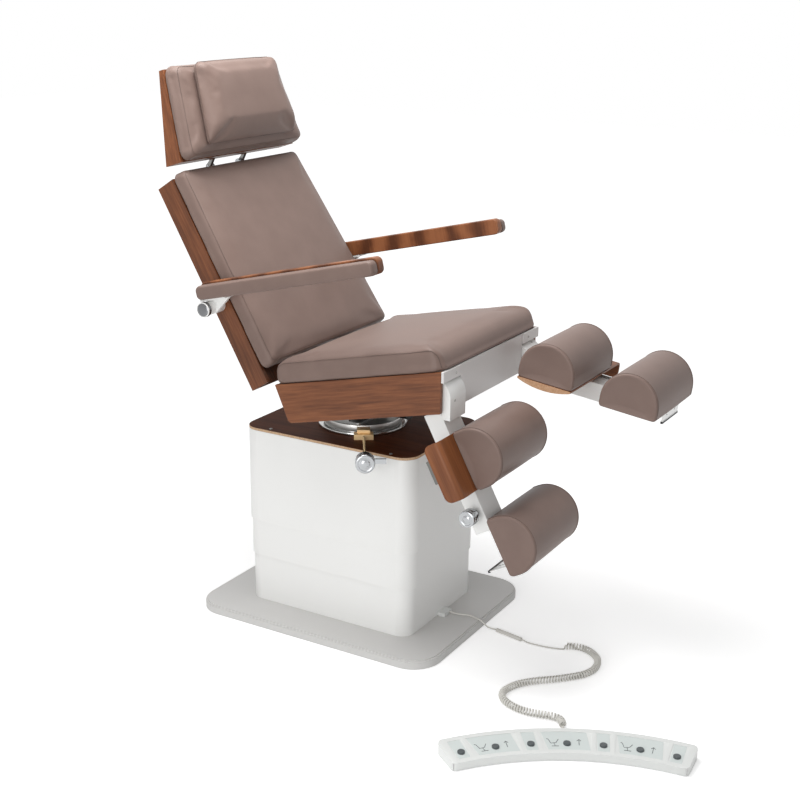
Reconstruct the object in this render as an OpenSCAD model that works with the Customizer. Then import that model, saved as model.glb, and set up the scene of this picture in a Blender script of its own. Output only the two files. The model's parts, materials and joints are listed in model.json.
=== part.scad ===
// Podiatry chair: telescopic lifting column on a floor plate, turntable with a brake,
// tilting seat, reclining back, adjustable headrest, folding arms, two leg rests
// and a curved foot control on a curly cord.
// The person faces -Y and their left is +X. The origin is on the floor under the column.

/* [Base] */
// Width of the floor plate
base_w = 572; // [480:2:700]
// Length of the floor plate
base_l = 720; // [640:2:900]
// Thickness of the floor plate
base_t = 23; // [16:1:34]
// Radius of the floor plate's corners
base_corner_r = 78; // [50:1:110]

/* [Column] */
// Width of the upper column cover
cover_w = 376; // [340:2:420]
// Length of the upper column cover
cover_l = 512; // [470:2:560]
// Corner radius of the upper column cover
cover_r = 44; // [30:1:60]
// Wall of the column covers
cover_wall = 3; // [2:0.5:4]
// Free gap between two nested covers
cover_gap = 0.8; // [0.6:0.1:1]
// Height of the column's wooden top above the floor
column_h = 515; // [490:1:560]
// Thickness of the wooden top board
board_t = 7; // [5:1:12]
// Height of the upper cover's lower edge
upper_z = 255; // [252:1:280]
// Height of the middle cover's lower edge
middle_z = 154; // [130:1:170]
// Travel of the column below the height shown
lift_down = 220; // [150:5:220]
// Travel of the column above the height shown
lift_up = 60; // [20:5:80]
// Outer width of the fixed lifting tube
tube_w = 160; // [140:2:180]
// Wall of the lifting tubes
tube_wall = 5; // [3:1:8]

/* [Turntable and brake] */
// Radius of the fixed flange
flange_r = 118; // [108:1:125]
// Thickness of the fixed flange
flange_t = 8; // [6:1:12]
// Radius of the turning disc
disc_r = 104; // [96:1:106]
// Thickness of the turning disc
disc_t = 18; // [12:1:22]
// Radius of the swivel spindle
spindle_r = 22; // [16:1:26]
// Direction of the brake screw, from the right side towards the front
brake_az = 33; // [25:1:40]
// Distance of the brake knob's face from the swivel axis
brake_reach = 345; // [335:1:360]
// Radius of the turning knobs
knob_r = 24; // [18:1:26]

/* [Seat] */
// Height of the seat's tilt axle
tilt_axis_z = 625; // [620:1:640]
// Tilt of the seat, front edge up
seat_tilt = 12.2; // [8:0.1:14]
// Half width of the seat cushion at the front
seat_front_w = 262; // [254:1:270]
// Half width of the seat cushion at the rear
seat_rear_w = 284; // [270:1:290]
// Depth of the seat cushion
seat_l = 484; // [460:1:500]
// Thickness of the seat cushion
seat_cushion_t = 59; // [45:1:70]
// Height of the crown in the middle of a cushion
crown = 8; // [4:1:12]
// Height of the wooden side panels
panel_h = 100; // [85:1:105]
// Thickness of the wooden panels
panel_t = 12; // [9:1:14]

/* [Back] */
// Lean of the backrest from upright
back_lean = 32.7; // [28:0.1:36]
// Length of the backrest
back_l = 567; // [520:1:600]
// Depth of the backrest's wooden box
back_box_t = 56; // [48:1:64]
// Thickness of the backrest cushion
back_cushion_t = 42; // [34:1:50]
// Half width of the backrest at its foot
back_foot_w = 281; // [270:1:290]
// Half width of the backrest at its top
back_top_w = 250; // [235:1:260]

/* [Headrest] */
// Lean of the headrest from upright
head_lean = 18; // [14:0.1:24]
// Height of the headrest
head_l = 238; // [210:1:255]
// Half width of the headrest at its lower edge
head_foot_w = 245; // [225:1:255]
// Half width of the headrest at its upper edge
head_top_w = 213; // [200:1:235]
// Thickness of the headrest cushion
head_cushion_t = 43; // [35:1:50]
// Diameter of the two headrest rods
head_rod_d = 9; // [7:0.5:12]

/* [Armrests] */
// Length of an armrest
arm_l = 528; // [480:1:570]
// Height of an armrest
arm_h = 41; // [34:1:48]
// Thickness of the wooden strip
arm_wood_t = 24; // [18:1:28]
// Thickness of the padded strip
arm_pad_t = 30; // [22:1:36]
// Rise of the armrests towards the front
arm_rise = 13.5; // [8:0.5:16]

/* [Leg rests] */
// Drop of the right leg rest below level
leg_drop_right = 61.5; // [50:0.5:66]
// Drop of the left leg rest below level
leg_drop_left = 7.5; // [4:0.5:30]
// Width of a leg rest's square tube
beam_w = 76; // [70:1:80]
// Depth of a leg rest's square tube
beam_h = 46; // [40:1:48]
// Wall of the square tube
beam_wall = 3; // [2:0.5:4]
// Reach of the outer tube from the hinge
beam_l = 342; // [330:1:350]
// Length of a leg cushion across the leg
leg_cushion_l = 258; // [240:1:262]
// Radius of a leg cushion's round side
leg_cushion_r = 74; // [68:1:76]
// Distance of the calf cushion from the hinge
calf_at = 167; // [162:1:170]
// Distance of the foot cushion from the hinge
foot_at = 386; // [382:1:392]

/* [Foot control] */
// Radius of the housing's inner edge
pedal_inner_r = 612; // [560:1:640]
// Depth of the housing
pedal_depth = 87; // [80:1:105]
// Half of the housing's spread in degrees
pedal_half = 24.6; // [23.8:0.1:26]
// Height of the housing's inner edge
pedal_low_h = 20; // [17:1:24]
// Height of the housing's outer edge
pedal_high_h = 30; // [28:1:40]
// Radius of a foot button
button_r = 8.5; // [8:0.5:11]

/* [Cord] */
// Diameter of the cord
cord_d = 4.4; // [3.6:0.2:4.8]
// Outer diameter of the curly part
curl_d = 19; // [15:0.5:20]
// Number of curls
curls = 48; // [30:1:52]

/* [Hidden] */
$fn = 48;

// Shared clearances and small sizes
over = 1;
fit = 0.05;
seat_gap = 0.3;
side_gap = 2;
soft_gap = 0.5;
sheet = 3;
waist_share = 0.93;
plate_t = 8;

// Colours
white_paint = "#e6e6e2";
plate_paint = "#c4c4c0";
walnut = "#8a5a3e";
dark_walnut = "#4a2c1e";
leather = "#8a776e";
steel = "#b8b8b6";
chrome = "#c8cacc";
brass = "#c9a25a";
rubber = "#2a2a2a";
cord_white = "#d8d6ce";

// Covers, from the outside in
cover_step = cover_wall + cover_gap;
cover_top = column_h - board_t;
inner_tube_top = cover_top - cover_wall - plate_t;
middle_top = inner_tube_top - lift_down / 2 - side_gap;
lower_top = upper_z - cover_gap;
tube_gap = 0.6;
tube_step = tube_wall + tube_gap;
head_plate_w = tube_w * 1.5;
edge_r = base_t / 4;
outlet_w = 40;
outlet_h = 10;
outlet_l = 22;
outlet_y = -(cover_l / 2 - 2 * cover_step) - outlet_l;
lead_x = 9;
lead_z = base_t + outlet_h / 2;

// Turntable and tilting yoke
flange_top = column_h + flange_t;
disc_z = flange_top + seat_gap;
disc_top = disc_z + disc_t;
yoke_half = 92;
yoke_t = 8;
axle_r = 10;
yoke_eye_r = 2 * axle_r;
rail_w = 20;
rail_h = 40;
rail_x = yoke_half + yoke_t + side_gap;
axle_half = rail_x + rail_w + side_gap;
motor_r = 25;
motor_l = 120;

// Brake
brake_rod_r = 4;
brake_block_w = 50;
brake_block_h = 14;
brake_block_l = 26;
brake_z = column_h + brake_block_h / 2 + seat_gap;
knob_t = 26;
lever_l = 28;
lever_w = 12;

// Seat frame: q runs to the rear along the seat, r stands square to it
function seat_y(q, r) = q * cos(seat_tilt) + r * sin(seat_tilt);
function seat_z(q, r) = tilt_axis_z - q * sin(seat_tilt) + r * cos(seat_tilt);
panel_low = -panel_h * 0.32;
panel_top = panel_low + panel_h;
seat_board_t = panel_t;
tail_share = 0.6;
seat_front_share = 0.841;
seat_front_q = -seat_front_share * seat_l;
seat_rear_q = seat_front_q + seat_l;
panel_lip = 9;
side_lip = panel_lip + side_gap / 2;
panel_front_q = seat_front_q + panel_lip;
seat_inset = 4;
panel_short = 5;
front_plate_t = 4;
hinge_cover_t = 3;
seat_taper = atan((seat_rear_w - seat_front_w) / seat_l);
rail_front = seat_front_q + 0.13 * seat_l;
rail_rear = seat_rear_q;
rail_top = panel_top - seat_board_t;
board_front_q = rail_front - side_gap;
board_rear_q = seat_rear_q - 4 * side_gap;
leg_back = 50;
leg_q = seat_front_q + leg_back;
leg_r = 7;
leg_y = seat_y(leg_q, leg_r);
leg_z = seat_z(leg_q, leg_r);
beam_outer_x = seat_front_w - seat_inset - panel_t - side_gap;
beam_inner_x = beam_outer_x - beam_w;
beam_mid_x = beam_outer_x - beam_w / 2;
leg_axle_r = 9;
leg_lug_t = 8;
leg_lug_x = beam_inner_x - side_gap * 3 - leg_lug_t;
slot_top_r = 42;
hinge_back = 18;
recline_q = seat_rear_q + hinge_back;
recline_r = 72;
back_y = seat_y(recline_q, recline_r);
back_z = seat_z(recline_q, recline_r);
hinge_pin_r = 8;
hinge_eye_r = 2 * hinge_pin_r;
lug_t = 8;
lug_x = rail_x + rail_w - sheet;
back_rail_w = 20;
back_rail_x = lug_x + lug_t + side_gap;

// Recline drive: the lever hangs from the back, its pin runs in the rod's slotted fork
lever_arm = 50;
lever_rest = 26;
lever_t = 12;
lever_pin_r = 5;
lever_eye_r = 11;
fork_play = 1;
fork_t = 5;
fork_w = 28;
fork_reach = 30;
drive_r = recline_r - lever_arm + 3.5 * fork_play;
recline_motor_r = 21;
recline_rod_r = 7;
recline_motor_front = rail_front + 3.5 * rail_w;
recline_motor_rear = -30;
recline_stroke = 75;
lever_q = recline_q + lever_arm * sin(lever_rest);
lever_r = recline_r - lever_arm * cos(lever_rest);
lever_turn = lever_rest + back_lean - seat_tilt;
lever_tip = lever_arm * [sin(lever_turn), -cos(lever_turn)];

// Backrest: u runs up the back, v stands forward of it
back_taper = (back_foot_w - back_top_w) / back_l;
box_front_v = 6;
box_rear_v = box_front_v - back_box_t;
back_board_t = 12;
back_panel_t = 8;
back_front_u = 20;
back_cushion_u = 32;
back_board_u = 52;
back_cushion_over = 11;
back_cushion_l = back_l - back_cushion_u + back_cushion_over;
cushion_overhang = 3;
bar_front_v = box_front_v - back_panel_t;
bar_rear_v = box_rear_v + back_panel_t * 2;
back_bar_h = 24;
rod_x = 58;
rod_v = -10;
guide_depth = 37;
guide_l = 100;
head_guide_high = back_l - guide_depth;
head_guide_low = head_guide_high - guide_l;
rod_low_u = head_guide_low - guide_l;

// Headrest, on a pin across the two rods
function back_pt_y(u, v) = back_y + u * sin(back_lean) - v * cos(back_lean);
function back_pt_z(u, v) = back_z + u * cos(back_lean) + v * sin(back_lean);
head_rise = 23;
head_u = back_l + head_rise;
head_y = back_pt_y(head_u, rod_v);
head_z = back_pt_z(head_u, rod_v);
head_pin_r = 4;
head_eye_r = 7;
head_gap = 15;
head_taper = (head_foot_w - head_top_w) / head_l;
head_face = 58;
head_wood_low = 50;
head_wood_high = 14;
head_wood_short = 5;
head_wood_l = head_l - head_wood_short;
head_board_t = 10;
head_lug_w = 10;
pillow_w = 352;
pillow_h = 211;
pillow_t = 40;
pillow_up = 21;

// Armrests
arm_u = 232;
arm_v = -25.6;
arm_y = back_pt_y(arm_u, arm_v);
arm_z = back_pt_z(arm_u, arm_v);
arm_rear = -12;
arm_low = 24;
arm_wood_x = 290;
arm_pad_x = arm_wood_x + arm_wood_t;
arm_pad_drop = 5;
arm_hub_r = 17;
arm_pin_r = 9;
arm_cap_r = 19;
arm_cap_t = 10;
arm_plate_t = 10;
arm_hub_x = back_foot_w - back_taper * (arm_u - arm_hub_r) + soft_gap;
arm_hub_end = arm_pad_x + arm_pad_t / 2;

// Leg rests: t runs down the leg from the hinge, m stands up from it
beam_mid_m = -23;
beam_top_m = beam_mid_m + beam_h / 2;
beam_low_m = beam_mid_m - beam_h / 2;
leg_eye_r = 20;
leg_cheek_t = 6;
beam_from = 34;
guard_t = 2.5;
guard_reach = 43;
guard_low = -52;
shell_t = 5;
calf_m = 18;
foot_m = 6;
cushion_side = 26;
cushion_reach = 20;
flank_reach = 66;
cushion_outer_x = beam_outer_x + cushion_reach;
cushion_inner_x = cushion_outer_x - leg_cushion_l;
shell_outer_x = cushion_outer_x + flank_reach;
shell_half = leg_cushion_r - side_gap;
shell_bend_r = 14;
shell_corner_r = 18;
flank_h = 46;
slide_gap = 0.3;
slide_h = beam_h - 2 * beam_wall - 2 * slide_gap;
slide_w = beam_w - 2 * beam_wall - 2 * slide_gap;
slide_from = 150;
slide_end = beam_l - side_gap;
neck_l = 20;
neck_w = slide_w / 2;
mount_low = beam_top_m + seat_gap;
foot_plate_at = foot_at + leg_cushion_r * 0.6;
foot_plate_w = 110;
foot_plate_t = 3;
foot_plate_low = -40;
foot_slot_w = 7;
foot_rubber_h = 6;
knob_at = 292;
clamp_knob_r = knob_r * 0.84;
knob_stand = 20;
knob_stem_r = 6;

// Foot control
pedal_x = -988;
pedal_y = -1118;
pedal_az = 29.2;
pedal_outer_r = pedal_inner_r + pedal_depth;
pedal_mid_r = pedal_inner_r + 0.37 * pedal_depth;
pedal_wall = 3;
pedal_end_r = 16;
corner_share = 0.94;
button_step = 7.18;
button_travel = 3;
button_proud = 4;
button_well_r = button_r + 4;
panel_recess = 1;
panel_inset = 12;
relief_l = 40;
relief_r = 6;
rad = 180 / PI;
function pedal_top(r) = pedal_low_h + (pedal_high_h - pedal_low_h) * (r - pedal_inner_r) / pedal_depth;

// Rounded outlines and closed skins over rows of points
function arc_points(cx, cy, r, a0, a1, n) = [for (i = [0 : n]) let (a = a0 + (a1 - a0) * i / n)
    [cx + r * cos(a), cy + r * sin(a)]];
function outline(w, l, r, n) = concat(
    arc_points(w - r, l - r, r, 0, 90, n), arc_points(r - w, l - r, r, 90, 180, n),
    arc_points(r - w, r - l, r, 180, 270, n), arc_points(w - r, r - l, r, 270, 360, n));
function skin(rows, count) = concat(
    [for (i = [1 : count - 2]) [0, i, i + 1]],
    [for (k = [0 : rows - 2], i = [0 : count - 1]) let (a = k * count + i, b = k * count + (i + 1) % count)
        [a, a + count, b]],
    [for (k = [0 : rows - 2], i = [0 : count - 1]) let (a = k * count + i, b = k * count + (i + 1) % count)
        [a + count, b + count, b]],
    [for (i = [1 : count - 2]) let (top = (rows - 1) * count) [top, top + i + 1, top + i]]);

// A cushion on z = 0: each ring is a share of the smaller half width moved in, and a height
module cushion_form(half_w, half_l, r, rings, taper = 0, fall = 0, fall_l = 1, tail = 0, n = 6) {
    count = 4 * (n + 1);
    reach = min(half_w, half_l);
    high = rings[len(rings) - 1][1];
    points = [for (g = rings) let (inset = g[0] * reach)
        for (p = outline(half_w - inset, half_l - inset, max(r - inset, r / 9), n))
        let (near = max(0, 1 - (p[1] + half_l) / fall_l), end = max(0, 1 - (half_l - p[1]) / fall_l))
        [p[0] * (1 + taper * p[1] / half_l), p[1], g[1] - (fall * near * near + tail * end * end) * g[1] / high]];
    polyhedron(points, skin(len(rings), count), convexity = 6);
}
// Sides that draw in towards the base, and a crowned top, for a side of height t and a crown c
function crowned(t, c) = [[0.03, 0], [0.006, 0.16 * t], [0, 0.5 * t], [0, 0.84 * t], [0.022, 0.97 * t],
    [0.06, t + 0.12 * c], [0.16, t + 0.42 * c], [0.34, t + 0.75 * c], [0.6, t + 0.94 * c], [0.86, t + c]];
function puffed(t) = [[0.1, 0], [0.03, 0.1 * t], [0, 0.3 * t], [0.015, 0.52 * t], [0.07, 0.7 * t],
    [0.18, 0.84 * t], [0.36, 0.93 * t], [0.62, 0.985 * t], [0.88, t]];

// A leg cushion along x: flat base, short sides and a round top, with its ends drawn in
function d_outline(r, inset, n) = concat(
    arc_points(0, cushion_side, r - inset, 0, 180, 3 * n),
    arc_points(inset + r / 9 - r, inset + r / 9, r / 9, 180, 270, n / 3),
    arc_points(r - inset - r / 9, inset + r / 9, r / 9, 270, 360, n / 3));
end_shares = [[0.1, 0], [0.03, 0.018], [0, 0.06], [0, 0.94], [0.03, 0.982], [0.1, 1]];
module leg_cushion(r, l) {
    n = 6;
    rows = [for (e = end_shares) [for (p = d_outline(r, e[0] * r, n)) [e[1] * l, p[0], p[1]]]];
    polyhedron([for (row = rows) each row], skin(len(rows), len(rows[0])), convexity = 4);
}

// Smooth curves through points, and tubes along them
function curve_at(a, b, c, d, t) = 0.5 * (2 * b + (c - a) * t + (2 * a - 5 * b + 4 * c - d) * t * t
    + (3 * b - a - 3 * c + d) * t * t * t);
function curve(p, n) = [for (i = [0 : len(p) - 2])
    let (a = i > 0 ? p[i - 1] : 2 * p[0] - p[1], d = i < len(p) - 2 ? p[i + 2] : 2 * p[i + 1] - p[i])
    for (k = [0 : i < len(p) - 2 ? n - 1 : n]) curve_at(a, p[i], p[i + 1], d, k / n)];
function unit(v) = v / norm(v);
function lengths(p) = [for (i = 0, s = 0; i < len(p); i = i + 1, s = i < len(p) ? s + norm(p[i] - p[i - 1]) : s) s];
function heading(p, i) = unit(p[min(i + 1, len(p) - 1)] - p[max(i - 1, 0)]);
// side: for each point, a direction that is not along the tube
function tube_points(p, side, r, n) = [for (i = [0 : len(p) - 1])
    let (t = heading(p, i), e = unit(side[i] - (side[i] * t) * t), f = cross(t, e))
    for (k = [0 : n - 1]) p[i] + r * (cos(360 * k / n) * e + sin(360 * k / n) * f)];
module tube(p, side, r, n) {
    polyhedron(tube_points(p, side, r, n), skin(len(p), n), convexity = 10);
}
module plain_tube(p, r, n) {
    tube(p, [for (q = p) [0, 0, 1]], r, n);
}

// Frames of the moving parts, at rest
module at_seat() { translate([0, 0, tilt_axis_z]) rotate([-seat_tilt, 0, 0]) children(); }
module at_back() { translate([0, back_y, back_z]) rotate([-back_lean, 0, 0]) children(); }
module at_head() { translate([0, head_y, head_z]) rotate([-head_lean, 0, 0]) children(); }
module at_arm() { translate([0, arm_y, arm_z]) rotate([-arm_rise, 0, 0]) children(); }
module at_leg(drop) { translate([0, leg_y, leg_z]) rotate([drop, 0, 0]) children(); }
module at_brake() { translate([0, 0, brake_z]) rotate([0, 0, 180 + brake_az]) rotate([0, 90, 0]) children(); }
module at_pedal() { translate([pedal_x, pedal_y, 0]) rotate([0, 0, pedal_az]) children(); }
module both() { children(); mirror([1, 0, 0]) children(); }

// Plain shapes
module slab(w, l, h, r) {
    linear_extrude(h) rounded(w, l, r);
}
module rounded(w, l, r) {
    for (sx = [-1, 1], sy = [-1, 1]) translate([sx * (w / 2 - r), sy * (l / 2 - r)]) circle(r, $fn = 64);
    square([w - 2 * r, l], center = true);
    square([w, l - 2 * r], center = true);
}
module box_tube(w, l, wall, h, r) {
    linear_extrude(h) difference() {
        rounded(w, l, r);
        rounded(w - 2 * wall, l - 2 * wall, max(r - wall, wall));
    }
}
module across(x0, x1) { translate([x0, 0, 0]) rotate([90, 0, 90]) linear_extrude(x1 - x0) children(); }
module pin(r, x0, x1) { translate([x0, 0, 0]) rotate([0, 90, 0]) cylinder(h = x1 - x0, r = r); }

// Base and column
module base_plate() {
    color(plate_paint) {
        slab(base_w, base_l, base_t - edge_r, base_corner_r);
        translate([0, 0, base_t - edge_r]) slab(base_w - edge_r / 2, base_l - edge_r / 2, edge_r / 2, base_corner_r - edge_r / 4);
        translate([0, 0, base_t - edge_r / 2]) slab(base_w - 2 * edge_r, base_l - 2 * edge_r, edge_r / 2, base_corner_r - edge_r);
    }
}
module cover(level, z0, z1, top) {
    w = cover_w - 2 * level * cover_step;
    l = cover_l - 2 * level * cover_step;
    translate([0, 0, z0]) box_tube(w, l, cover_wall, z1 - z0, cover_r - level * cover_step);
    if (top) translate([0, 0, z1 - cover_wall]) difference() {
        slab(w, l, cover_wall, cover_r);
        translate([0, 0, -over]) cylinder(h = cover_wall + 2 * over, r = spindle_r + plate_t);
    }
}
module column_cover_lower() { color(white_paint) cover(2, base_t, lower_top, false); }
module column_cover_middle() { color(white_paint) cover(1, middle_z, middle_top, false); }
module column_cover_upper() { color(white_paint) cover(0, upper_z, cover_top, true); }
module column_top_board() {
    color(dark_walnut) translate([0, 0, cover_top]) difference() {
        slab(cover_w, cover_l, board_t, cover_r);
        translate([0, 0, -over]) cylinder(h = board_t + 2 * over, r = spindle_r + plate_t);
    }
}
module lift_tube(level, z0, z1) {
    w = tube_w - 2 * level * tube_step;
    translate([0, 0, z0]) box_tube(w, w, tube_wall, z1 - z0, 2 * tube_wall);
}
module lift_tube_outer() {
    color(steel) {
        translate([0, 0, base_t]) difference() {
            slab(head_plate_w, head_plate_w, plate_t, plate_t);
            translate([0, 0, -over]) cylinder(h = plate_t + 2 * over, r = spindle_r);
        }
        lift_tube(0, base_t + plate_t - over, lower_top - plate_t);
    }
}
module lift_tube_middle() {
    hole = tube_w - 4 * tube_step + 2 * tube_gap;
    color(steel) {
        lift_tube(1, middle_z, middle_top - plate_t + over);
        translate([0, 0, middle_top - plate_t]) linear_extrude(plate_t) difference() {
            rounded(cover_w - 2 * cover_step - 2 * cover_wall, cover_l - 2 * cover_step - 2 * cover_wall,
                cover_r - cover_step - cover_wall);
            square(hole, center = true);
        }
    }
}
module lift_tube_inner() {
    color(steel) {
        lift_tube(2, upper_z, inner_tube_top + over);
        translate([0, 0, inner_tube_top]) difference() {
            slab(head_plate_w, head_plate_w, plate_t, plate_t);
            translate([0, 0, -over]) cylinder(h = plate_t + 2 * over, r = spindle_r + plate_t);
        }
    }
}
module cable_outlet() {
    color(white_paint) difference() {
        translate([-outlet_w / 2, outlet_y, base_t]) cube([outlet_w, outlet_l, outlet_h]);
        translate([lead_x, outlet_y + outlet_l / 2, lead_z]) rotate([90, 0, 0]) cylinder(h = outlet_l, r = cord_d / 2 + fit);
    }
}

// Turntable, brake and tilting yoke
module turntable_flange() {
    color(chrome) translate([0, 0, column_h]) difference() {
        cylinder(h = flange_t, r = flange_r);
        translate([0, 0, flange_t / 2]) difference() {
            cylinder(h = flange_t, r = flange_r - flange_t / 2);
            translate([0, 0, -over]) cylinder(h = flange_t + 2 * over, r = disc_r - flange_t / 2);
        }
        translate([0, 0, -over]) cylinder(h = flange_t + 2 * over, r = spindle_r + fit);
    }
}
module turntable_disc() {
    color(steel) {
        translate([0, 0, disc_z]) cylinder(h = disc_t, r = disc_r);
        translate([0, 0, cover_top - cover_wall]) cylinder(h = disc_z + over - cover_top + cover_wall, r = spindle_r);
    }
}
module brake_block() {
    color(brass) at_brake() difference() {
        union() {
            translate([-brake_block_h / 2, -brake_block_w / 2, flange_r + seat_gap])
                cube([brake_block_h, brake_block_w, brake_block_l]);
            translate([-brake_block_h / 2 - flange_t, -brake_block_w / 3, disc_r + seat_gap])
                cube([flange_t + over - seat_gap, brake_block_w / 1.5, brake_block_l]);
        }
        translate([0, 0, flange_r]) cylinder(h = 2 * brake_block_l, r = brake_rod_r + fit);
    }
}
module brake_knob() {
    color(chrome) at_brake() {
        translate([0, 0, flange_r + brake_block_l / 3]) cylinder(h = brake_reach - knob_t - flange_r, r = brake_rod_r);
        translate([0, 0, brake_reach - knob_t]) cylinder(h = knob_t * 0.7, r = knob_r);
        translate([0, 0, brake_reach - knob_t / 2]) cylinder(h = knob_t / 2, r = knob_r * 0.9);
        translate([-lever_w / 2, knob_r / 2, brake_reach - knob_t])
            cube([lever_w, lever_l + knob_r / 2, lever_w / 2]);
    }
}
module tilt_yoke() {
    color(steel) {
        translate([0, 0, disc_top]) slab(2 * (yoke_half + yoke_t), disc_r, plate_t, plate_t);
        for (x0 = [yoke_half, -yoke_half - yoke_t]) translate([x0, 0, 0]) {
            translate([0, -yoke_eye_r, disc_top + plate_t / 2])
                cube([yoke_t, yoke_eye_r * 2, tilt_axis_z - disc_top - plate_t / 2 - yoke_eye_r / 2]);
            translate([0, 0, tilt_axis_z]) pin(yoke_eye_r, 0, yoke_t);
        }
        translate([0, 0, tilt_axis_z]) pin(axle_r, -axle_half, axle_half);
    }
}
module tilt_motor() {
    color(rubber) {
        translate([0, -axle_r, disc_top + plate_t]) translate([-motor_r, -motor_r, 0])
            cube([2 * motor_r, 2 * motor_r, tilt_axis_z - axle_r - disc_top - plate_t]);
        translate([0, -motor_r, disc_top + plate_t + motor_r]) rotate([90, 0, 0]) cylinder(h = motor_l, r = motor_r);
    }
}

// Seat
module link(a, ra, b, rb) {
    side = unit([a[1] - b[1], b[0] - a[0]]) * waist_share;
    translate(a) circle(ra);
    translate(b) circle(rb);
    polygon([a + ra * side, a - ra * side, b - rb * side, b + rb * side]);
}
module hollow_bar(x, y, z, w, l, h) {
    translate([x, y, z]) difference() {
        cube([w, l, h]);
        translate([sheet, -over, sheet]) cube([w - 2 * sheet, l + 2 * over, h - 2 * sheet]);
    }
}
module seat_frame() {
    low = -rail_h / 2;
    color(steel) at_seat() difference() {
        union() {
            both() {
                hollow_bar(rail_x, rail_front, low, rail_w, rail_rear - rail_front, rail_top - low);
                across(lug_x, lug_x + lug_t) link([rail_rear - rail_w / 2, rail_w / 2], rail_w, [recline_q, recline_r], hinge_eye_r);
                translate([0, recline_q, recline_r]) pin(hinge_pin_r, lug_x, back_rail_x + back_rail_w);
                across(leg_lug_x, leg_lug_x + leg_lug_t)
                    link([rail_front + rail_w / 2, 0], rail_w / 2, [leg_q, leg_r], 1.5 * leg_axle_r);
                translate([0, leg_q, leg_r]) pin(leg_axle_r, leg_lug_x, beam_outer_x + side_gap);
            }
            translate([-leg_lug_x - over, rail_front, low]) cube([2 * (leg_lug_x + over), rail_w, rail_h]);
            translate([-rail_x - over, rail_rear - rail_w / 2, low]) cube([2 * (rail_x + over), rail_w / 2, rail_h / 2]);
            translate([-rail_x - over, recline_motor_front - rail_w, low])
                cube([2 * (rail_x + over), rail_w, rail_top - low]);
        }
        pin(axle_r + fit, -axle_half - over, axle_half + over);
    }
}
module seat_panels() {
    long = seat_l - panel_short;
    color(walnut) at_seat() {
        both() translate([seat_front_w - seat_inset - panel_t, seat_front_q, 0]) rotate([0, 0, -seat_taper])
            across(0, panel_t) polygon([[side_lip + panel_h * tan(seat_tilt), panel_low], [side_lip, panel_top],
                [long, panel_top], [long - panel_h * 0.19, panel_low + panel_h * 0.06], [long - panel_h * 0.27, panel_low]]);
        translate([0, 0, rail_top]) linear_extrude(seat_board_t) polygon([
            for (sx = [-1, 1], q = sx < 0 ? [board_front_q, board_rear_q] : [board_rear_q, board_front_q])
                [sx * (seat_front_w - seat_inset - panel_t + (q - seat_front_q) * tan(seat_taper) - seat_gap), q]]);
    }
}
module at_front() { at_seat() translate([0, panel_front_q, panel_top]) rotate([seat_tilt, 0, 0]) children(); }
module seat_front_plate() {
    drop = panel_h / cos(seat_tilt);
    cover_h = (panel_top - slot_top_r) / cos(seat_tilt);
    wide = seat_front_w - seat_inset;
    color(white_paint) at_front() {
        translate([-beam_inner_x + side_gap, -front_plate_t, -drop]) cube([2 * (beam_inner_x - side_gap), front_plate_t, drop]);
        both() translate([beam_inner_x - side_gap - over, -front_plate_t, -cover_h])
            cube([wide - beam_inner_x + side_gap + over, front_plate_t, cover_h]);
        both() translate([beam_inner_x, -front_plate_t - hinge_cover_t, -cover_h])
            cube([wide - beam_inner_x, hinge_cover_t + over, cover_h]);
    }
}
module seat_cushion() {
    mid_w = (seat_front_w + seat_rear_w) / 2;
    color(leather) at_seat() translate([0, (seat_front_q + seat_rear_q) / 2, panel_top])
        cushion_form(mid_w, seat_l / 2, crown * 5, crowned(seat_cushion_t, crown),
            taper = (seat_rear_w - seat_front_w) / 2 / mid_w, fall = crown * 2, fall_l = seat_cushion_t * 0.8,
            tail = seat_cushion_t * tail_share);
}
module recline_motor() {
    color(rubber) at_seat() translate([0, 0, drive_r]) rotate([-90, 0, 0]) difference() {
        translate([0, 0, recline_motor_front]) cylinder(h = recline_motor_rear - recline_motor_front, r = recline_motor_r);
        translate([0, 0, recline_motor_rear - recline_stroke * 2]) cylinder(h = recline_stroke * 3, r = recline_rod_r + fit);
    }
}
module recline_rod() {
    color(chrome) at_seat() difference() {
        union() {
            translate([0, 0, drive_r]) rotate([-90, 0, 0]) translate([0, 0, recline_motor_rear - recline_stroke])
                cylinder(h = lever_q - fork_reach - fork_t - recline_motor_rear + recline_stroke, r = recline_rod_r);
            translate([-lever_t / 2 - fork_play - fork_t, lever_q - fork_reach - 2 * fork_t, drive_r - fork_w / 2])
                cube([lever_t + 2 * fork_play + 2 * fork_t, 2 * fork_t, fork_w]);
            both() translate([lever_t / 2 + fork_play, lever_q - fork_reach - fork_t, drive_r - fork_w / 2])
                cube([fork_t, fork_w / 2 + fork_reach + fork_t, fork_w]);
        }
        slot_half = lever_pin_r + fork_play;
        translate([-lever_t, lever_q - slot_half, drive_r - slot_half - 4 * fork_play])
            cube([2 * lever_t, 2 * slot_half, 2 * slot_half + 8 * fork_play]);
    }
}

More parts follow.
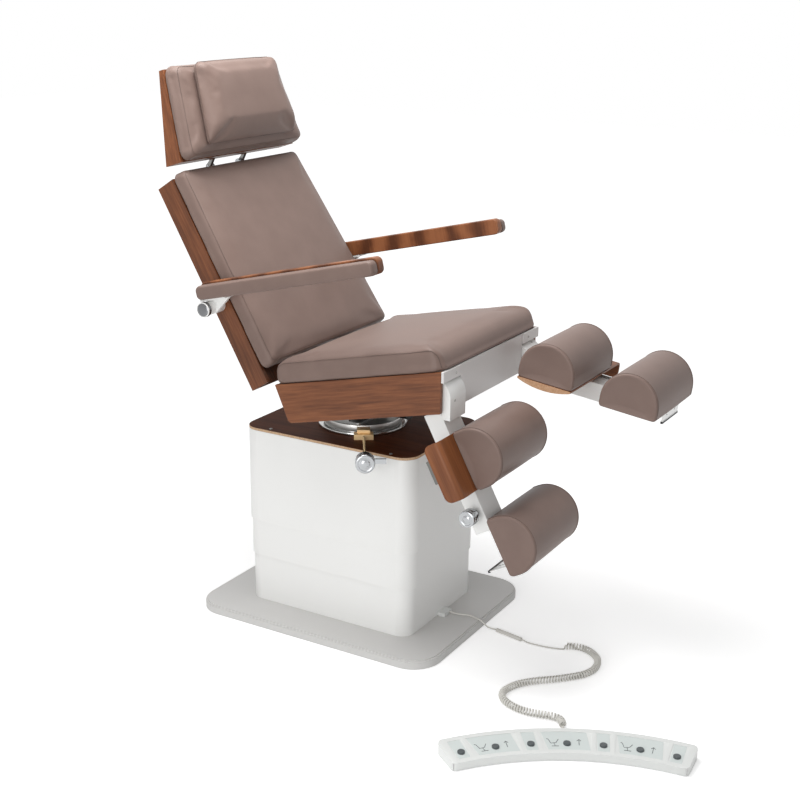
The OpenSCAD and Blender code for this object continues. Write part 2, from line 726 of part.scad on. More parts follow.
// Backrest
function back_w(u) = back_foot_w - back_taper * u;
module back_frame() {
    bar_l = bar_front_v - bar_rear_v;
    color(steel) at_back() {
        difference() {
            union() {
                both() {
                    across(back_rail_x, back_rail_x + back_rail_w) {
                        link([0, 0], hinge_eye_r, [-bar_rear_v - bar_l / 2, back_front_u * 3], bar_l / 3);
                        translate([-bar_front_v, back_front_u * 2]) square([bar_l, head_guide_high - back_front_u * 2]);
                    }
                }
                for (u = [back_front_u * 3, head_guide_low, head_guide_high - back_bar_h])
                    translate([-back_rail_x - over, -bar_front_v, u]) cube([2 * (back_rail_x + over), bar_l, back_bar_h]);
                across(-lever_t / 2, lever_t / 2) {
                    link([-bar_rear_v - bar_l / 2, back_front_u * 3 + back_bar_h / 2], bar_l / 3,
                        [-bar_rear_v - bar_l / 2, 0], lever_eye_r);
                    link([-bar_rear_v - bar_l / 2, 0], lever_eye_r, lever_tip, lever_eye_r);
                }
                translate([0, lever_tip[0], lever_tip[1]]) pin(lever_pin_r, -lever_t / 2 - fork_play - fork_t, lever_t / 2 + fork_play + fork_t);
                translate([0, -arm_v, arm_u]) pin(arm_pin_r, seat_gap - arm_hub_end, arm_hub_end - seat_gap);
            }
            pin(hinge_pin_r + fit, -back_foot_w, back_foot_w);
            for (x = [-rod_x, rod_x]) translate([x, -rod_v, rod_low_u]) cylinder(h = back_l, r = head_rod_d / 2 + fit);
        }
    }
}
module back_shell() {
    inner = back_w(0) - back_board_t;
    inner_top = back_w(back_l) - back_board_t;
    hollow = back_box_t - 2 * back_panel_t;
    color(walnut) at_back() difference() {
        translate([0, -box_front_v, 0]) rotate([90, 0, 0]) mirror([0, 0, 1]) linear_extrude(back_box_t)
            polygon([[-back_w(0), side_gap], [back_w(0), side_gap], [back_w(back_l), back_l], [-back_w(back_l), back_l]]);
        translate([0, back_panel_t - box_front_v, 0]) rotate([90, 0, 0]) mirror([0, 0, 1]) linear_extrude(hollow)
            polygon([[-inner, -over], [inner, -over], [inner_top, back_l - back_board_t], [-inner_top, back_l - back_board_t]]);
        translate([-inner, -box_front_v - over, -over]) cube([2 * inner, back_panel_t + 2 * over, back_board_u + over]);
        for (x = [-rod_x, rod_x]) translate([x, -rod_v, head_guide_high]) cylinder(h = back_l, r = head_rod_d / 2 + fit);
        translate([0, -arm_v, arm_u]) pin(arm_pin_r + fit, -back_foot_w - over, back_foot_w + over);
    }
}
module back_cushion() {
    half_l = back_cushion_l / 2;
    mid = back_cushion_u + half_l;
    mid_w = back_w(mid) + cushion_overhang;
    color(leather) at_back() translate([0, -box_front_v, mid]) rotate([90, 0, 0])
        cushion_form(mid_w, half_l, crown * 4, crowned(back_cushion_t, crown), taper = -back_taper * half_l / mid_w,
            fall = crown, fall_l = back_cushion_t);
}

// Headrest
module head_rods() {
    color(chrome) {
        at_back() for (x = [-rod_x, rod_x]) translate([x, -rod_v, rod_low_u])
            cylinder(h = head_u - rod_low_u, r = head_rod_d / 2);
        at_head() both() {
            pin(head_eye_r, rod_x - head_lug_w / 2, rod_x + head_lug_w / 2);
            pin(head_pin_r, rod_x, rod_x + head_lug_w * 1.5 + side_gap);
        }
    }
}
module head_prism(inset) {
    low = head_gap + inset;
    w = head_foot_w - inset;
    w_top = head_foot_w - head_taper * head_wood_l - inset;
    intersection() {
        translate([0, head_face, 0]) rotate([90, 0, 0]) linear_extrude(3 * head_face)
            polygon([[-w, low], [w, low], [w_top, head_gap + head_wood_l - inset], [-w_top, head_gap + head_wood_l - inset]]);
        across(-head_foot_w, head_foot_w) polygon([[-head_face - (inset > 0 ? over : 0), head_gap],
            [head_wood_low - head_face - inset, head_gap],
            [head_wood_high - head_face - inset, head_gap + head_wood_l], [-head_face - (inset > 0 ? over : 0), head_gap + head_wood_l]]);
    }
}
module head_shell() {
    color(walnut) at_head() difference() {
        union() {
            difference() {
                head_prism(0);
                head_prism(head_board_t);
            }
            both() across(rod_x + head_lug_w / 2 + side_gap / 2, rod_x + head_lug_w * 1.5 + side_gap / 2)
                link([0, 0], head_eye_r, [-head_wood_low / 2, head_gap + head_board_t / 2], head_board_t / 3);
        }
        pin(head_pin_r + fit, -head_foot_w, head_foot_w);
    }
}
module head_cushion() {
    mid_w = (head_foot_w + head_top_w) / 2 + cushion_overhang;
    color(leather) at_head() translate([0, -head_face, head_gap + head_l / 2]) rotate([90, 0, 0])
        cushion_form(mid_w, head_l / 2, crown * 3, crowned(head_cushion_t, crown), taper = -head_taper * head_l / 2 / mid_w);
}
module head_pillow() {
    color(leather) at_head() translate([0, -head_face - head_cushion_t - crown - seat_gap, head_gap + pillow_up + pillow_h / 2])
        rotate([90, 0, 0]) cushion_form(pillow_w / 2, pillow_h / 2, pillow_t, puffed(pillow_t),
            taper = -head_taper * pillow_h / 2 / pillow_w, fall = pillow_t * 0.6, fall_l = pillow_t);
}

// Armrests
module arm_bracket() {
    color(white_paint) at_arm() difference() {
        union() {
            pin(arm_hub_r, arm_hub_x, arm_hub_end);
            pin(arm_cap_r, arm_hub_end, arm_hub_end + arm_cap_t);
            across(arm_wood_x + arm_plate_t / 2, arm_wood_x + arm_plate_t * 1.5)
                polygon([[-arm_rear, -arm_hub_r / 2], [-arm_rear, arm_low], [-4 * arm_hub_r, arm_low], [-arm_hub_r / 2, -arm_hub_r]]);
            translate([arm_wood_x, -4 * arm_hub_r, arm_low - front_plate_t])
                cube([arm_hub_end - arm_wood_x, 4 * arm_hub_r - arm_rear, front_plate_t]);
        }
        pin(arm_pin_r + fit, arm_hub_x - over, arm_hub_end);
    }
}
module arm_wood() {
    end_r = arm_h / 3;
    color(walnut) at_arm() across(arm_wood_x, arm_wood_x + arm_wood_t)
        translate([-arm_rear - arm_l / 2, arm_low + arm_h / 2]) rounded(arm_l, arm_h, end_r);
}
module arm_pad() {
    inset = front_plate_t / 2;
    color(leather) at_arm() translate([arm_pad_x, -arm_rear - arm_l / 2, arm_low + (arm_h - arm_pad_drop) / 2])
        rotate([90, 0, 90]) cushion_form((arm_l - inset) / 2, (arm_h - arm_pad_drop) / 2, arm_h / 3,
            crowned(arm_pad_t - inset, inset), n = 3);
}

// Leg rests
module leg_beam(drop) {
    front = 2 * guard_reach;
    sector = [for (a = [0 : 18 : 72]) front * [-cos(a), sin(a)]];
    color(white_paint) at_leg(drop) difference() {
        union() {
            translate([beam_inner_x, -beam_l, beam_low_m]) difference() {
                cube([beam_w, beam_l - beam_from, beam_h]);
                translate([beam_wall, -over, beam_wall]) cube([beam_w - 2 * beam_wall, beam_l, beam_h - 2 * beam_wall]);
            }
            for (x = [beam_inner_x, beam_outer_x - leg_cheek_t]) across(x, x + leg_cheek_t)
                link([0, 0], leg_eye_r, [-beam_from - leg_eye_r, beam_mid_m], beam_h * 0.4);
            rotate([-leg_drop_right, 0, 0]) {
                across(beam_inner_x, beam_outer_x) intersection() {
                    difference() {
                        circle(guard_reach + guard_t);
                        circle(guard_reach);
                    }
                    polygon(concat([[0, 0]], sector));
                }
                translate([beam_inner_x, -guard_reach - guard_t, guard_low]) cube([beam_w, guard_t, -guard_low]);
                for (x = [beam_inner_x + seat_gap, beam_outer_x - guard_t - seat_gap]) across(x, x + guard_t) {
                    intersection() {
                        circle(guard_reach + guard_t / 2);
                        polygon(concat([[0, 0]], sector));
                    }
                    translate([-guard_reach - guard_t / 2, guard_low]) square([guard_reach / 2, -guard_low]);
                }
            }
        }
        pin(leg_axle_r + fit, beam_inner_x - over, beam_outer_x + over);
        translate([beam_mid_x - neck_w / 2 - slide_gap, -beam_l - over, beam_top_m - beam_wall - over])
            cube([neck_w + 2 * slide_gap, neck_l + 2 * side_gap + over, beam_wall + 2 * over]);
        translate([0, -knob_at, beam_mid_m]) pin(knob_stem_r + fit, beam_mid_x, beam_outer_x + over);
    }
}
module leg_shell(drop) {
    sag = calf_m - beam_top_m - shell_t;
    bow_r = (shell_half * shell_half + sag * sag) / 2 / sag;
    bow_half = shell_half - side_gap;
    bend_x = shell_outer_x - shell_bend_r;
    bend_m = calf_m - shell_bend_r;
    color(walnut) at_leg(drop) {
        intersection() {
            translate([0, shell_half - calf_at, 0]) rotate([90, 0, 0]) linear_extrude(2 * shell_half) {
                translate([cushion_inner_x, calf_m - shell_t]) square([bend_x - cushion_inner_x, shell_t]);
                translate([shell_outer_x - shell_t, calf_m - flank_h]) square([shell_t, flank_h - shell_bend_r]);
                intersection() {
                    translate([bend_x, bend_m]) difference() {
                        circle(shell_bend_r);
                        circle(shell_bend_r - shell_t);
                    }
                    translate([bend_x, bend_m]) square(shell_bend_r);
                }
            }
            across(0, shell_outer_x) translate([-calf_at, calf_m - flank_h + shell_half])
                rounded(2 * shell_half, 2 * shell_half, shell_corner_r);
        }
        across(cushion_inner_x, cushion_outer_x) intersection() {
            translate([-calf_at, beam_top_m + bow_r]) circle(bow_r, $fn = 180);
            translate([-calf_at - bow_half, beam_top_m]) square([2 * bow_half, sag + shell_t / 2]);
        }
    }
}
module calf_cushion(drop) {
    color(leather) at_leg(drop) translate([cushion_inner_x, -calf_at, calf_m]) leg_cushion(leg_cushion_r, leg_cushion_l);
}
module leg_slide(drop) {
    half_w = slide_w / 2;
    low = beam_mid_m - slide_h / 2;
    color(steel) at_leg(drop) translate([beam_mid_x, 0, 0]) {
        translate([-half_w, -slide_end, low]) difference() {
            cube([slide_w, slide_end - slide_from, slide_h]);
            translate([beam_wall, -over, beam_wall])
                cube([slide_w - 2 * beam_wall, slide_end, slide_h - 2 * beam_wall]);
        }
        translate([-neck_w / 2, -slide_end, low + slide_h - beam_wall / 2])
            cube([neck_w, neck_l, mount_low + over - low - slide_h + beam_wall / 2]);
        translate([-half_w, -foot_plate_at, mount_low])
            cube([slide_w, foot_plate_at - slide_end + neck_l, foot_m - mount_low]);
    }
}
module foot_cushion(drop) {
    color(leather) at_leg(drop) translate([cushion_inner_x, -foot_at, foot_m]) leg_cushion(leg_cushion_r, leg_cushion_l);
}
module foot_plate(drop) {
    slot_l = 3 * foot_slot_w;
    color(steel) at_leg(drop) translate([beam_mid_x, -foot_plate_at - foot_plate_t, 0]) {
        difference() {
            translate([-foot_plate_w / 2, 0, foot_plate_low]) cube([foot_plate_w, foot_plate_t, foot_m - seat_gap - foot_plate_low]);
            for (x = [-foot_plate_w / 4, foot_plate_w / 4])
                translate([x - foot_slot_w / 2, -over, foot_plate_low + slot_l / 2]) cube([foot_slot_w, foot_plate_t + 2 * over, slot_l]);
        }
        translate([-foot_plate_w / 2, -foot_plate_t / 2, foot_plate_low - foot_rubber_h])
            cube([foot_plate_w, 2 * foot_plate_t, foot_rubber_h]);
    }
}
module clamp_knob(drop) {
    color(chrome) at_leg(drop) translate([0, -knob_at, beam_mid_m]) {
        pin(knob_stem_r, beam_outer_x - beam_wall, beam_outer_x + knob_stand + over);
        pin(clamp_knob_r / 2, beam_outer_x + side_gap / 2, beam_outer_x + knob_stand + over);
        pin(clamp_knob_r, beam_outer_x + knob_stand, beam_outer_x + knob_stand + knob_t);
    }
}
module right_side() { mirror([1, 0, 0]) children(); }

// Foot control
module band(half) {
    rotate([0, 0, -half]) rotate_extrude(angle = 2 * half, $fn = 240) children();
}
module pedal_profile(inset) {
    polygon([[pedal_inner_r + inset, -min(inset, over)], [pedal_outer_r - inset, -min(inset, over)],
        [pedal_outer_r - inset, pedal_top(pedal_outer_r - inset) - inset],
        [pedal_inner_r + inset, pedal_top(pedal_inner_r + inset) - inset]]);
}
// What a corner loses when it is rounded, a little short of a full quarter
module corner_cut(sx, sy, r, h) {
    back = r * corner_share;
    linear_extrude(h) difference() {
        polygon([[sx * r, sy * r], [sx * r, -sy * back], [-sx * back, -sy * back], [-sx * back, sy * r]]);
        translate([-sx * back, -sy * back]) circle(r);
    }
}
function button_angle(i) = (i - 4) * button_step;
module pedal_housing() {
    inner_half = pedal_half - pedal_wall / pedal_inner_r * rad;
    color(white_paint) at_pedal() difference() {
        union() {
            difference() {
                band(pedal_half) pedal_profile(0);
                band(inner_half) pedal_profile(pedal_wall);
            }
            for (i = [1 : 7]) rotate([0, 0, button_angle(i)]) translate([pedal_mid_r, 0, 0])
                cylinder(h = pedal_top(pedal_mid_r - button_well_r) - pedal_wall / 2, r = button_well_r);
        }
        for (i = [1 : 7]) rotate([0, 0, button_angle(i)]) translate([pedal_mid_r, 0, pedal_wall])
            cylinder(h = pedal_high_h, r = button_r + fit);
        for (s = [-1, 1], side = [-1, 1]) rotate([0, 0, s * pedal_half])
            translate([side > 0 ? pedal_outer_r : pedal_inner_r, 0, -over]) corner_cut(side, s, pedal_end_r, pedal_high_h + 2 * over);
        for (i = [1 : 7]) rotate([0, 0, button_angle(i)]) band(i % 2 == 1 ? button_step / 5 : button_step * 0.68)
            polygon([[pedal_inner_r + panel_inset, pedal_top(pedal_inner_r + panel_inset) - panel_recess],
                [pedal_outer_r - panel_inset, pedal_top(pedal_outer_r - panel_inset) - panel_recess],
                [pedal_outer_r - panel_inset, pedal_high_h + over], [pedal_inner_r + panel_inset, pedal_high_h + over]]);
    }
}
module pedal_button(i) {
    bottom = pedal_wall + button_travel + seat_gap;
    color(rubber) at_pedal() rotate([0, 0, button_angle(i)]) translate([pedal_mid_r, 0, bottom])
        cylinder(h = pedal_top(pedal_mid_r) + button_proud - bottom, r = button_r);
}

// Cord, laid over the floor plate's front edge and along the floor
lead_route = [[9, -262, 28], [9, -276, 28], [10, -288, 27], [15, -304, 25.6], [21, -322, 25.4], [17, -342, 25.4],
    [12, -358, 25.6], [12, -368, 21], [15, -380, 10], [19, -392, 5.6], [20, -400, 5.5], [20, -406, 5.5]];
thin_route = [[4, -485, 5.5], [3, -491, 5.5], [2, -504, 3], [3, -525, 2.4], [5, -550, 2.4], [10, -575, 2.4],
    [14, -587, 2.4], [17, -595, 2.4]];
curl_route = [[17, -595], [27, -606], [35, -622], [37, -643], [32, -662], [21, -680], [2, -698], [-26, -709],
    [-58, -711], [-90, -700], [-122, -675], [-152, -645], [-182, -612], [-212, -587], [-243, -573], [-271, -569],
    [-293, -578], [-309, -595], [-319, -617], [-324, -642], [-323, -670], [-317, -697], [-312, -718], [-314, -736],
    [-326, -748], [-344, -758.2]];
sleeve_r = 5.5;
curl_a = (curl_d - cord_d) / 2;
curl_path = curve(curl_route, 6);
curl_s = lengths(curl_path);
curl_l = curl_s[len(curl_s) - 1];
curl_x = [for (i = [0 : len(curl_s) - 1]) [curl_s[i], curl_path[i][0]]];
curl_y = [for (i = [0 : len(curl_s) - 1]) [curl_s[i], curl_path[i][1]]];
curl_end = 2 * cord_d;
function curl_axis(s) = [lookup(s, curl_x), lookup(s, curl_y), 0];
function curl_swell(s) = let (k = min(1, max(0, s - cord_d) / curl_end, max(0, curl_l - cord_d - s) / curl_end))
    k * k * (3 - 2 * k);
relief_z = relief_r + over;
function curl_floor(s) = cord_d / 2 + over / 5 + curl_a * curl_swell(s)
    + (relief_z - cord_d / 2 - over / 5) * pow(max(0, 1 - (curl_l - s) / curl_d), 2);
function curl_out(s) = let (t = unit(curl_axis(min(s + over, curl_l)) - curl_axis(max(s - over, 0))),
    a = 360 * curls * s / curl_l) cos(a) * [-t[1], t[0], 0] + [0, 0, sin(a)];
curl_rings = curls * 8;
curl_side = [for (i = [0 : curl_rings]) curl_out(curl_l * i / curl_rings)];
curl_line = [for (i = [0 : curl_rings]) let (s = curl_l * i / curl_rings)
    curl_axis(s) + [0, 0, curl_floor(s)] + curl_a * curl_swell(s) * curl_side[i]];
curl_gap = min([for (i = [0 : curl_rings]) for (j = [i + 6 : 1 : min(i + 12, curl_rings)])
    norm(curl_line[i] - curl_line[j])]) - cord_d;
echo(curly_cord_least_gap = curl_gap, curly_cord_route_length = curl_l);
module cord_lead() {
    color(cord_white) {
        plain_tube(curve(lead_route, 3), cord_d / 2, 8);
        plain_tube(curve(thin_route, 3), cord_d / 2, 8);
    }
}
module cord_sleeve() {
    way = thin_route[0] - lead_route[len(lead_route) - 1];
    color(cord_white) translate(lead_route[len(lead_route) - 1]) rotate([0, 0, atan2(way[1], way[0])])
        pin(sleeve_r, 0, norm(way));
}
module curly_cord() {
    color(cord_white) tube(curl_line, curl_side, cord_d / 2, 6);
}
module cord_relief() {
    color(cord_white) at_pedal() translate([pedal_outer_r, 0, relief_z]) rotate([0, 90, 0])
        cylinder(h = relief_l, r1 = relief_r, r2 = cord_d / 2 + over, $fn = 32);
}

// Pivots of the joints, in millimetres
echo(seat_pivot = [0, 0, tilt_axis_z], back_pivot = [0, back_y, back_z], head_pivot = [0, head_y, head_z],
    arm_pivot = [0, arm_y, arm_z], leg_pivot = [0, leg_y, leg_z], brake_pivot_z = brake_z, lever = [lever_q, lever_r]);

base_plate();
column_cover_lower();
lift_tube_outer();
cable_outlet();
column_cover_middle();
lift_tube_middle();
column_cover_upper();
column_top_board();
lift_tube_inner();
turntable_flange();
brake_block();
brake_knob();
turntable_disc();
tilt_yoke();
tilt_motor();
seat_frame();
seat_panels();
seat_front_plate();
seat_cushion();
recline_motor();
recline_rod();
back_frame();
back_shell();
back_cushion();
head_rods();
head_shell();
head_cushion();
head_pillow();
right_side() arm_bracket();  // arm_bracket_right
right_side() arm_wood();  // arm_wood_right
right_side() arm_pad();  // arm_pad_right
arm_bracket();  // arm_bracket_left
arm_wood();  // arm_wood_left
arm_pad();  // arm_pad_left
right_side() leg_beam(leg_drop_right);  // leg_beam_right
right_side() leg_shell(leg_drop_right);  // leg_shell_right
right_side() calf_cushion(leg_drop_right);  // calf_cushion_right
right_side() leg_slide(leg_drop_right);  // leg_slide_right
right_side() foot_cushion(leg_drop_right);  // foot_cushion_right
right_side() foot_plate(leg_drop_right);  // foot_plate_right
right_side() clamp_knob(leg_drop_right);  // clamp_knob_right
leg_beam(leg_drop_left);  // leg_beam_left
leg_shell(leg_drop_left);  // leg_shell_left
calf_cushion(leg_drop_left);  // calf_cushion_left
leg_slide(leg_drop_left);  // leg_slide_left
foot_cushion(leg_drop_left);  // foot_cushion_left
foot_plate(leg_drop_left);  // foot_plate_left
clamp_knob(leg_drop_left);  // clamp_knob_left
pedal_housing();
pedal_button(1);  // pedal_button_1
pedal_button(2);  // pedal_button_2
pedal_button(3);  // pedal_button_3
pedal_button(4);  // pedal_button_4
pedal_button(5);  // pedal_button_5
pedal_button(6);  // pedal_button_6
pedal_button(7);  // pedal_button_7
cord_lead();
cord_sleeve();
curly_cord();
cord_relief();
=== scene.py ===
"""Podiatry chair: upholstery, veneer, metal and the curly cord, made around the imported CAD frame."""
import json
import math

import bmesh
import bpy
from bpy.props import FloatProperty, FloatVectorProperty, IntProperty, PointerProperty, StringProperty
from mathutils import Matrix, Vector
from mathutils.bvhtree import BVHTree


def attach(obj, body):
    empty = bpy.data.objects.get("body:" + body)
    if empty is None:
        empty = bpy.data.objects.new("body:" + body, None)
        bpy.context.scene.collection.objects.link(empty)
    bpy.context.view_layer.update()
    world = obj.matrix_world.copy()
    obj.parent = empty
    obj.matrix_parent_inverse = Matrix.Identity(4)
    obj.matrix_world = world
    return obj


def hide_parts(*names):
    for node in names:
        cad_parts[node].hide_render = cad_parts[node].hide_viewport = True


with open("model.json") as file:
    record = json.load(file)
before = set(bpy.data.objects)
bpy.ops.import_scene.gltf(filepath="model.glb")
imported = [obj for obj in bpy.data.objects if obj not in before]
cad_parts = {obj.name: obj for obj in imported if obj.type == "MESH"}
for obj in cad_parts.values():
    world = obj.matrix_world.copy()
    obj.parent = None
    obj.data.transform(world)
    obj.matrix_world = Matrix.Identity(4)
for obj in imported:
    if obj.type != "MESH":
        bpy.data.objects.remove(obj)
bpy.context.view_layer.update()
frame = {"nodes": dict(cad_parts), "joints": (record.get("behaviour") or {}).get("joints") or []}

bl_info = {
    "name": "Podiatry chair",
    "version": (1, 0, 0),
    "blender": (4, 5, 0),
    "location": "3D View > Sidebar > Chair",
    "description": "Makes the upholstery, wood, metal and cord of a podiatry chair around its CAD frame",
    "category": "Object",
}

MM = 0.001
PIVOT = {j["name"]: Vector(j["pos_m"]) for j in frame["joints"] if j.get("pos_m")}
SIDES = ("right", "left")
MIRROR = {"right": Matrix.Scale(-1, 4, (1, 0, 0)), "left": Matrix.Identity(4)}


def spin(axis, degrees):
    return Matrix.Rotation(math.radians(degrees), 4, axis)


def turned(pivot, degrees):
    """A frame at a joint's pivot, turned about the chair's width."""
    place = PIVOT[pivot].copy()
    place.x = 0
    return Matrix.Translation(place) @ spin("X", degrees)


# Frames of the tilted parts: seat y runs to the rear, back z runs up, a leg's -y runs down the leg
SEAT_TILT, LEG_DROP = 12.2, 61.5
SEAT = turned("seat_tilt", -SEAT_TILT)
BACK = turned("recline", -32.7)
HEAD = turned("head_tilt", -18)
ARM = turned("arm_fold_left", -13.5)
LEG = {"right": turned("leg_raise_right", LEG_DROP), "left": turned("leg_raise_left", 7.5)}
STAND = spin("X", 90)
CONTROL = Matrix.Translation((-0.988, -1.118, 0)) @ spin("Z", 29.2)


def at(x, y, z):
    return Matrix.Translation(Vector((x, y, z)) * MM)


# ---- Colours and materials


def linear(code):
    """An sRGB hex colour as linear RGBA."""
    parts = [int(code[i : i + 2], 16) / 255 for i in (1, 3, 5)]
    return tuple(c / 12.92 if c <= 0.04045 else ((c + 0.055) / 1.055) ** 2.4 for c in parts) + (1,)


def add_node(tree, kind, inputs=None, **settings):
    """A shader node with its settings; an input is a value or another node's output."""
    made = tree.nodes.new("ShaderNode" + kind)
    for key, value in settings.items():
        setattr(made, key, value)
    for key, value in (inputs or {}).items():
        if isinstance(value, bpy.types.NodeSocket):
            tree.links.new(value, made.inputs[key])
        else:
            made.inputs[key].default_value = value
    return made


def maths(tree, operation, *values):
    return add_node(tree, "Math", dict(enumerate(values)), operation=operation).outputs[0]


def noise(tree, place, size_mm, detail=2.0, **more):
    """The factor of a noise of this size, on coordinates in metres."""
    inputs = {"Vector": place, "Scale": per_mm(size_mm), "Detail": detail, **more}
    return add_node(tree, "TexNoise", inputs).outputs["Fac"]


def new_material(name, colour, rough, metal=0.0, **more):
    """A Principled material with plain values on its own sockets, and its object coordinates in metres."""
    made = bpy.data.materials.new(name)
    made.use_nodes = True
    tree = made.node_tree
    shader = tree.nodes["Principled BSDF"]
    shader.inputs["Base Color"].default_value = linear(colour)
    shader.inputs["Roughness"].default_value = rough
    shader.inputs["Metallic"].default_value = metal
    for key, value in more.items():
        shader.inputs[key.replace("_", " ")].default_value = value
    return made, tree, shader, add_node(tree, "TexCoord").outputs["Object"]


def own_frame(tree, place, home):
    """Object coordinates turned and moved into a part's own frame."""
    inverse = home.inverted()
    return add_node(tree, "Mapping", {"Vector": place, "Location": inverse.translation,
                                      "Rotation": inverse.to_euler()}).outputs[0]


def below(tree, place, axis, limit_mm):
    """1 where a coordinate is below a limit."""
    along = add_node(tree, "SeparateXYZ", {0: place}).outputs[axis]
    return maths(tree, "LESS_THAN", along, limit_mm * MM)


def per_mm(size):
    """Texture scale for a pattern of this size in millimetres, on coordinates in metres."""
    return 1000 / size


def ramp(tree, factor, stops):
    made = add_node(tree, "ValToRGB", {0: factor})
    elements = made.color_ramp.elements
    for i, (place, colour) in enumerate(stops):
        element = elements[i] if i < 2 else elements.new(place)
        element.position = place
        element.color = linear(colour)
    return made.outputs["Color"]


def bump(tree, shader, height, strength, deep_mm):
    made = add_node(tree, "Bump", {"Height": height, "Strength": strength, "Distance": deep_mm * MM})
    tree.links.new(made.outputs["Normal"], shader.inputs["Normal"])


def vary(tree, shader, factor, low, high):
    """Roughness between two values, by a factor."""
    span = add_node(tree, "MapRange", {"Value": factor, "To Min": low, "To Max": high})
    tree.links.new(span.outputs["Result"], shader.inputs["Roughness"])


def leather(name, colour, dark, light):
    # Taupe upholstery leather, embossed and matt: soft broad highlights and a fine pebbled grain.
    # The real grain is about 1 mm, and is drawn at 2.2 mm so that it shows.
    made, tree, shader, place = new_material(name, colour, 0.47, Sheen_Weight=0.08, Sheen_Roughness=0.4,
                                             Specular_IOR_Level=0.32)
    grain = add_node(tree, "TexVoronoi", {"Vector": place, "Scale": per_mm(2.2)}, feature="SMOOTH_F1")
    cloud = noise(tree, place, 70, 3.0)
    tree.links.new(ramp(tree, cloud, [(0.3, dark), (0.7, light)]), shader.inputs["Base Color"])
    vary(tree, shader, cloud, 0.42, 0.53)
    bump(tree, shader, grain.outputs["Distance"], 0.35, 0.25)
    return made


def walnut(name, home, along, stops, rough=0.42, figure=0.0, specular=0.3):
    # Walnut veneer under satin lacquer: brown with long darker streaks that run along the board.
    # Streaks are 3 to 6 mm apart and hand-long, and pores are drawn at 0.9 mm so that they show.
    made, tree, shader, place = new_material(name, stops[1][1], rough, Coat_Weight=0.04, Coat_Roughness=0.3,
                                             Specular_IOR_Level=specular)
    straight = own_frame(tree, place, home)
    stretch = [1.0 if axis == along else 38.0 for axis in "xyz"]
    run = add_node(tree, "Mapping", {"Vector": straight, "Scale": stretch}).outputs[0]
    streak = noise(tree, run, 210, 5.0, Roughness=0.6)
    wide = [max(1, scale / 5) for scale in stretch]
    wide = add_node(tree, "Mapping", {"Vector": straight, "Scale": wide}).outputs[0]
    broad = noise(tree, wide, 260, Distortion=0.4)
    factor = add_node(tree, "Mix", {0: 0.4, 2: streak, 3: broad}).outputs[0]
    if figure:
        bands = add_node(tree, "TexWave", {"Vector": straight, "Scale": per_mm(figure) / 6.3, "Distortion": 5.0,
                                           "Detail": 3.0, "Detail Scale": 2.0}, bands_direction="Y")
        factor = add_node(tree, "Mix", {0: 0.35, 2: factor, 3: bands.outputs["Fac"]}).outputs[0]
    tree.links.new(ramp(tree, factor, stops), shader.inputs["Base Color"])
    bump(tree, shader, noise(tree, run, 30), 0.1, 0.2)
    return made


def parts_of(made):
    """A finished material's tree, its shader and its coordinates."""
    tree = made.node_tree
    coords = next(n for n in tree.nodes if n.bl_idname == "ShaderNodeTexCoord")
    return tree, tree.nodes["Principled BSDF"], coords.outputs


def recolour(tree, shader, mask, colour):
    """Another base colour where the mask is 1."""
    old = shader.inputs["Base Color"]
    before = old.links[0].from_socket if old.links else tuple(old.default_value)
    mixed = add_node(tree, "Mix", {0: mask, 6: before, 7: colour}, data_type="RGBA")
    tree.links.new(mixed.outputs[2], old)


def other_below(made, home, axis, limit_mm, colour, metallic, rough):
    """Gives what lies below a limit another surface, as where one node joins two materials."""
    tree, shader, coords = parts_of(made)
    mask = below(tree, own_frame(tree, coords["Object"], home), axis, limit_mm)
    for key, value in (("Metallic", metallic), ("Roughness", rough)):
        old = shader.inputs[key]
        before = old.links[0].from_socket if old.links else old.default_value
        tree.links.new(add_node(tree, "Mix", {0: mask, 2: before, 3: value}).outputs[0], old)
    recolour(tree, shader, mask, linear(colour))


def with_edge(made, axis, limit, edge_colour, line_colour, layer_mm, side, inside=None):
    """Shows plywood layers by how far a board's surface faces along an axis, and only this near the middle."""
    tree, shader, coords = parts_of(made)
    face = add_node(tree, "SeparateXYZ", {0: coords["Normal"]}).outputs[axis]
    edge = maths(tree, side, maths(tree, "ABSOLUTE", face), limit)
    if inside:
        reach = add_node(tree, "SeparateXYZ", {0: coords["Object"]}).outputs[0]
        near = maths(tree, "LESS_THAN", maths(tree, "ABSOLUTE", reach), inside * MM)
        edge = maths(tree, "MULTIPLY", edge, near)
    stripes = noise(tree, coords["Object"], layer_mm, 4.0)
    ply = ramp(tree, stripes, [(0.35, line_colour), (0.6, edge_colour)])
    recolour(tree, shader, edge, ply)


def painted(name, colour, rough, peel_mm):
    # Powder coat on steel sheet: even and pale, with a faint orange peel.
    made, tree, shader, place = new_material(name, colour, rough)
    bump(tree, shader, noise(tree, place, peel_mm), 0.08, 0.15)
    vary(tree, shader, noise(tree, place, 90), rough - 0.05, rough + 0.07)
    return made


def metal(name, colour, rough, brush=None):
    # Bare or plated metal: brushed lines stretch across it where it was turned or brushed.
    made, tree, shader, place = new_material(name, colour, rough, metal=1.0)
    stretch = add_node(tree, "Mapping", {"Vector": place, "Scale": brush or (1, 1, 1)})
    lines = noise(tree, stretch.outputs[0], 5, 4.0)
    vary(tree, shader, lines, rough * 0.75, rough * 1.35)
    bump(tree, shader, lines, 0.06 if brush else 0.02, 0.1)
    return made


def moulded(name, colour, rough, grain_mm=1.2):
    # Moulded plastic or rubber: one colour through, with a fine spark-eroded texture drawn a little coarse.
    made, tree, shader, place = new_material(name, colour, rough)
    bump(tree, shader, noise(tree, place, grain_mm), 0.1, 0.08)
    return made


MATERIAL = {}


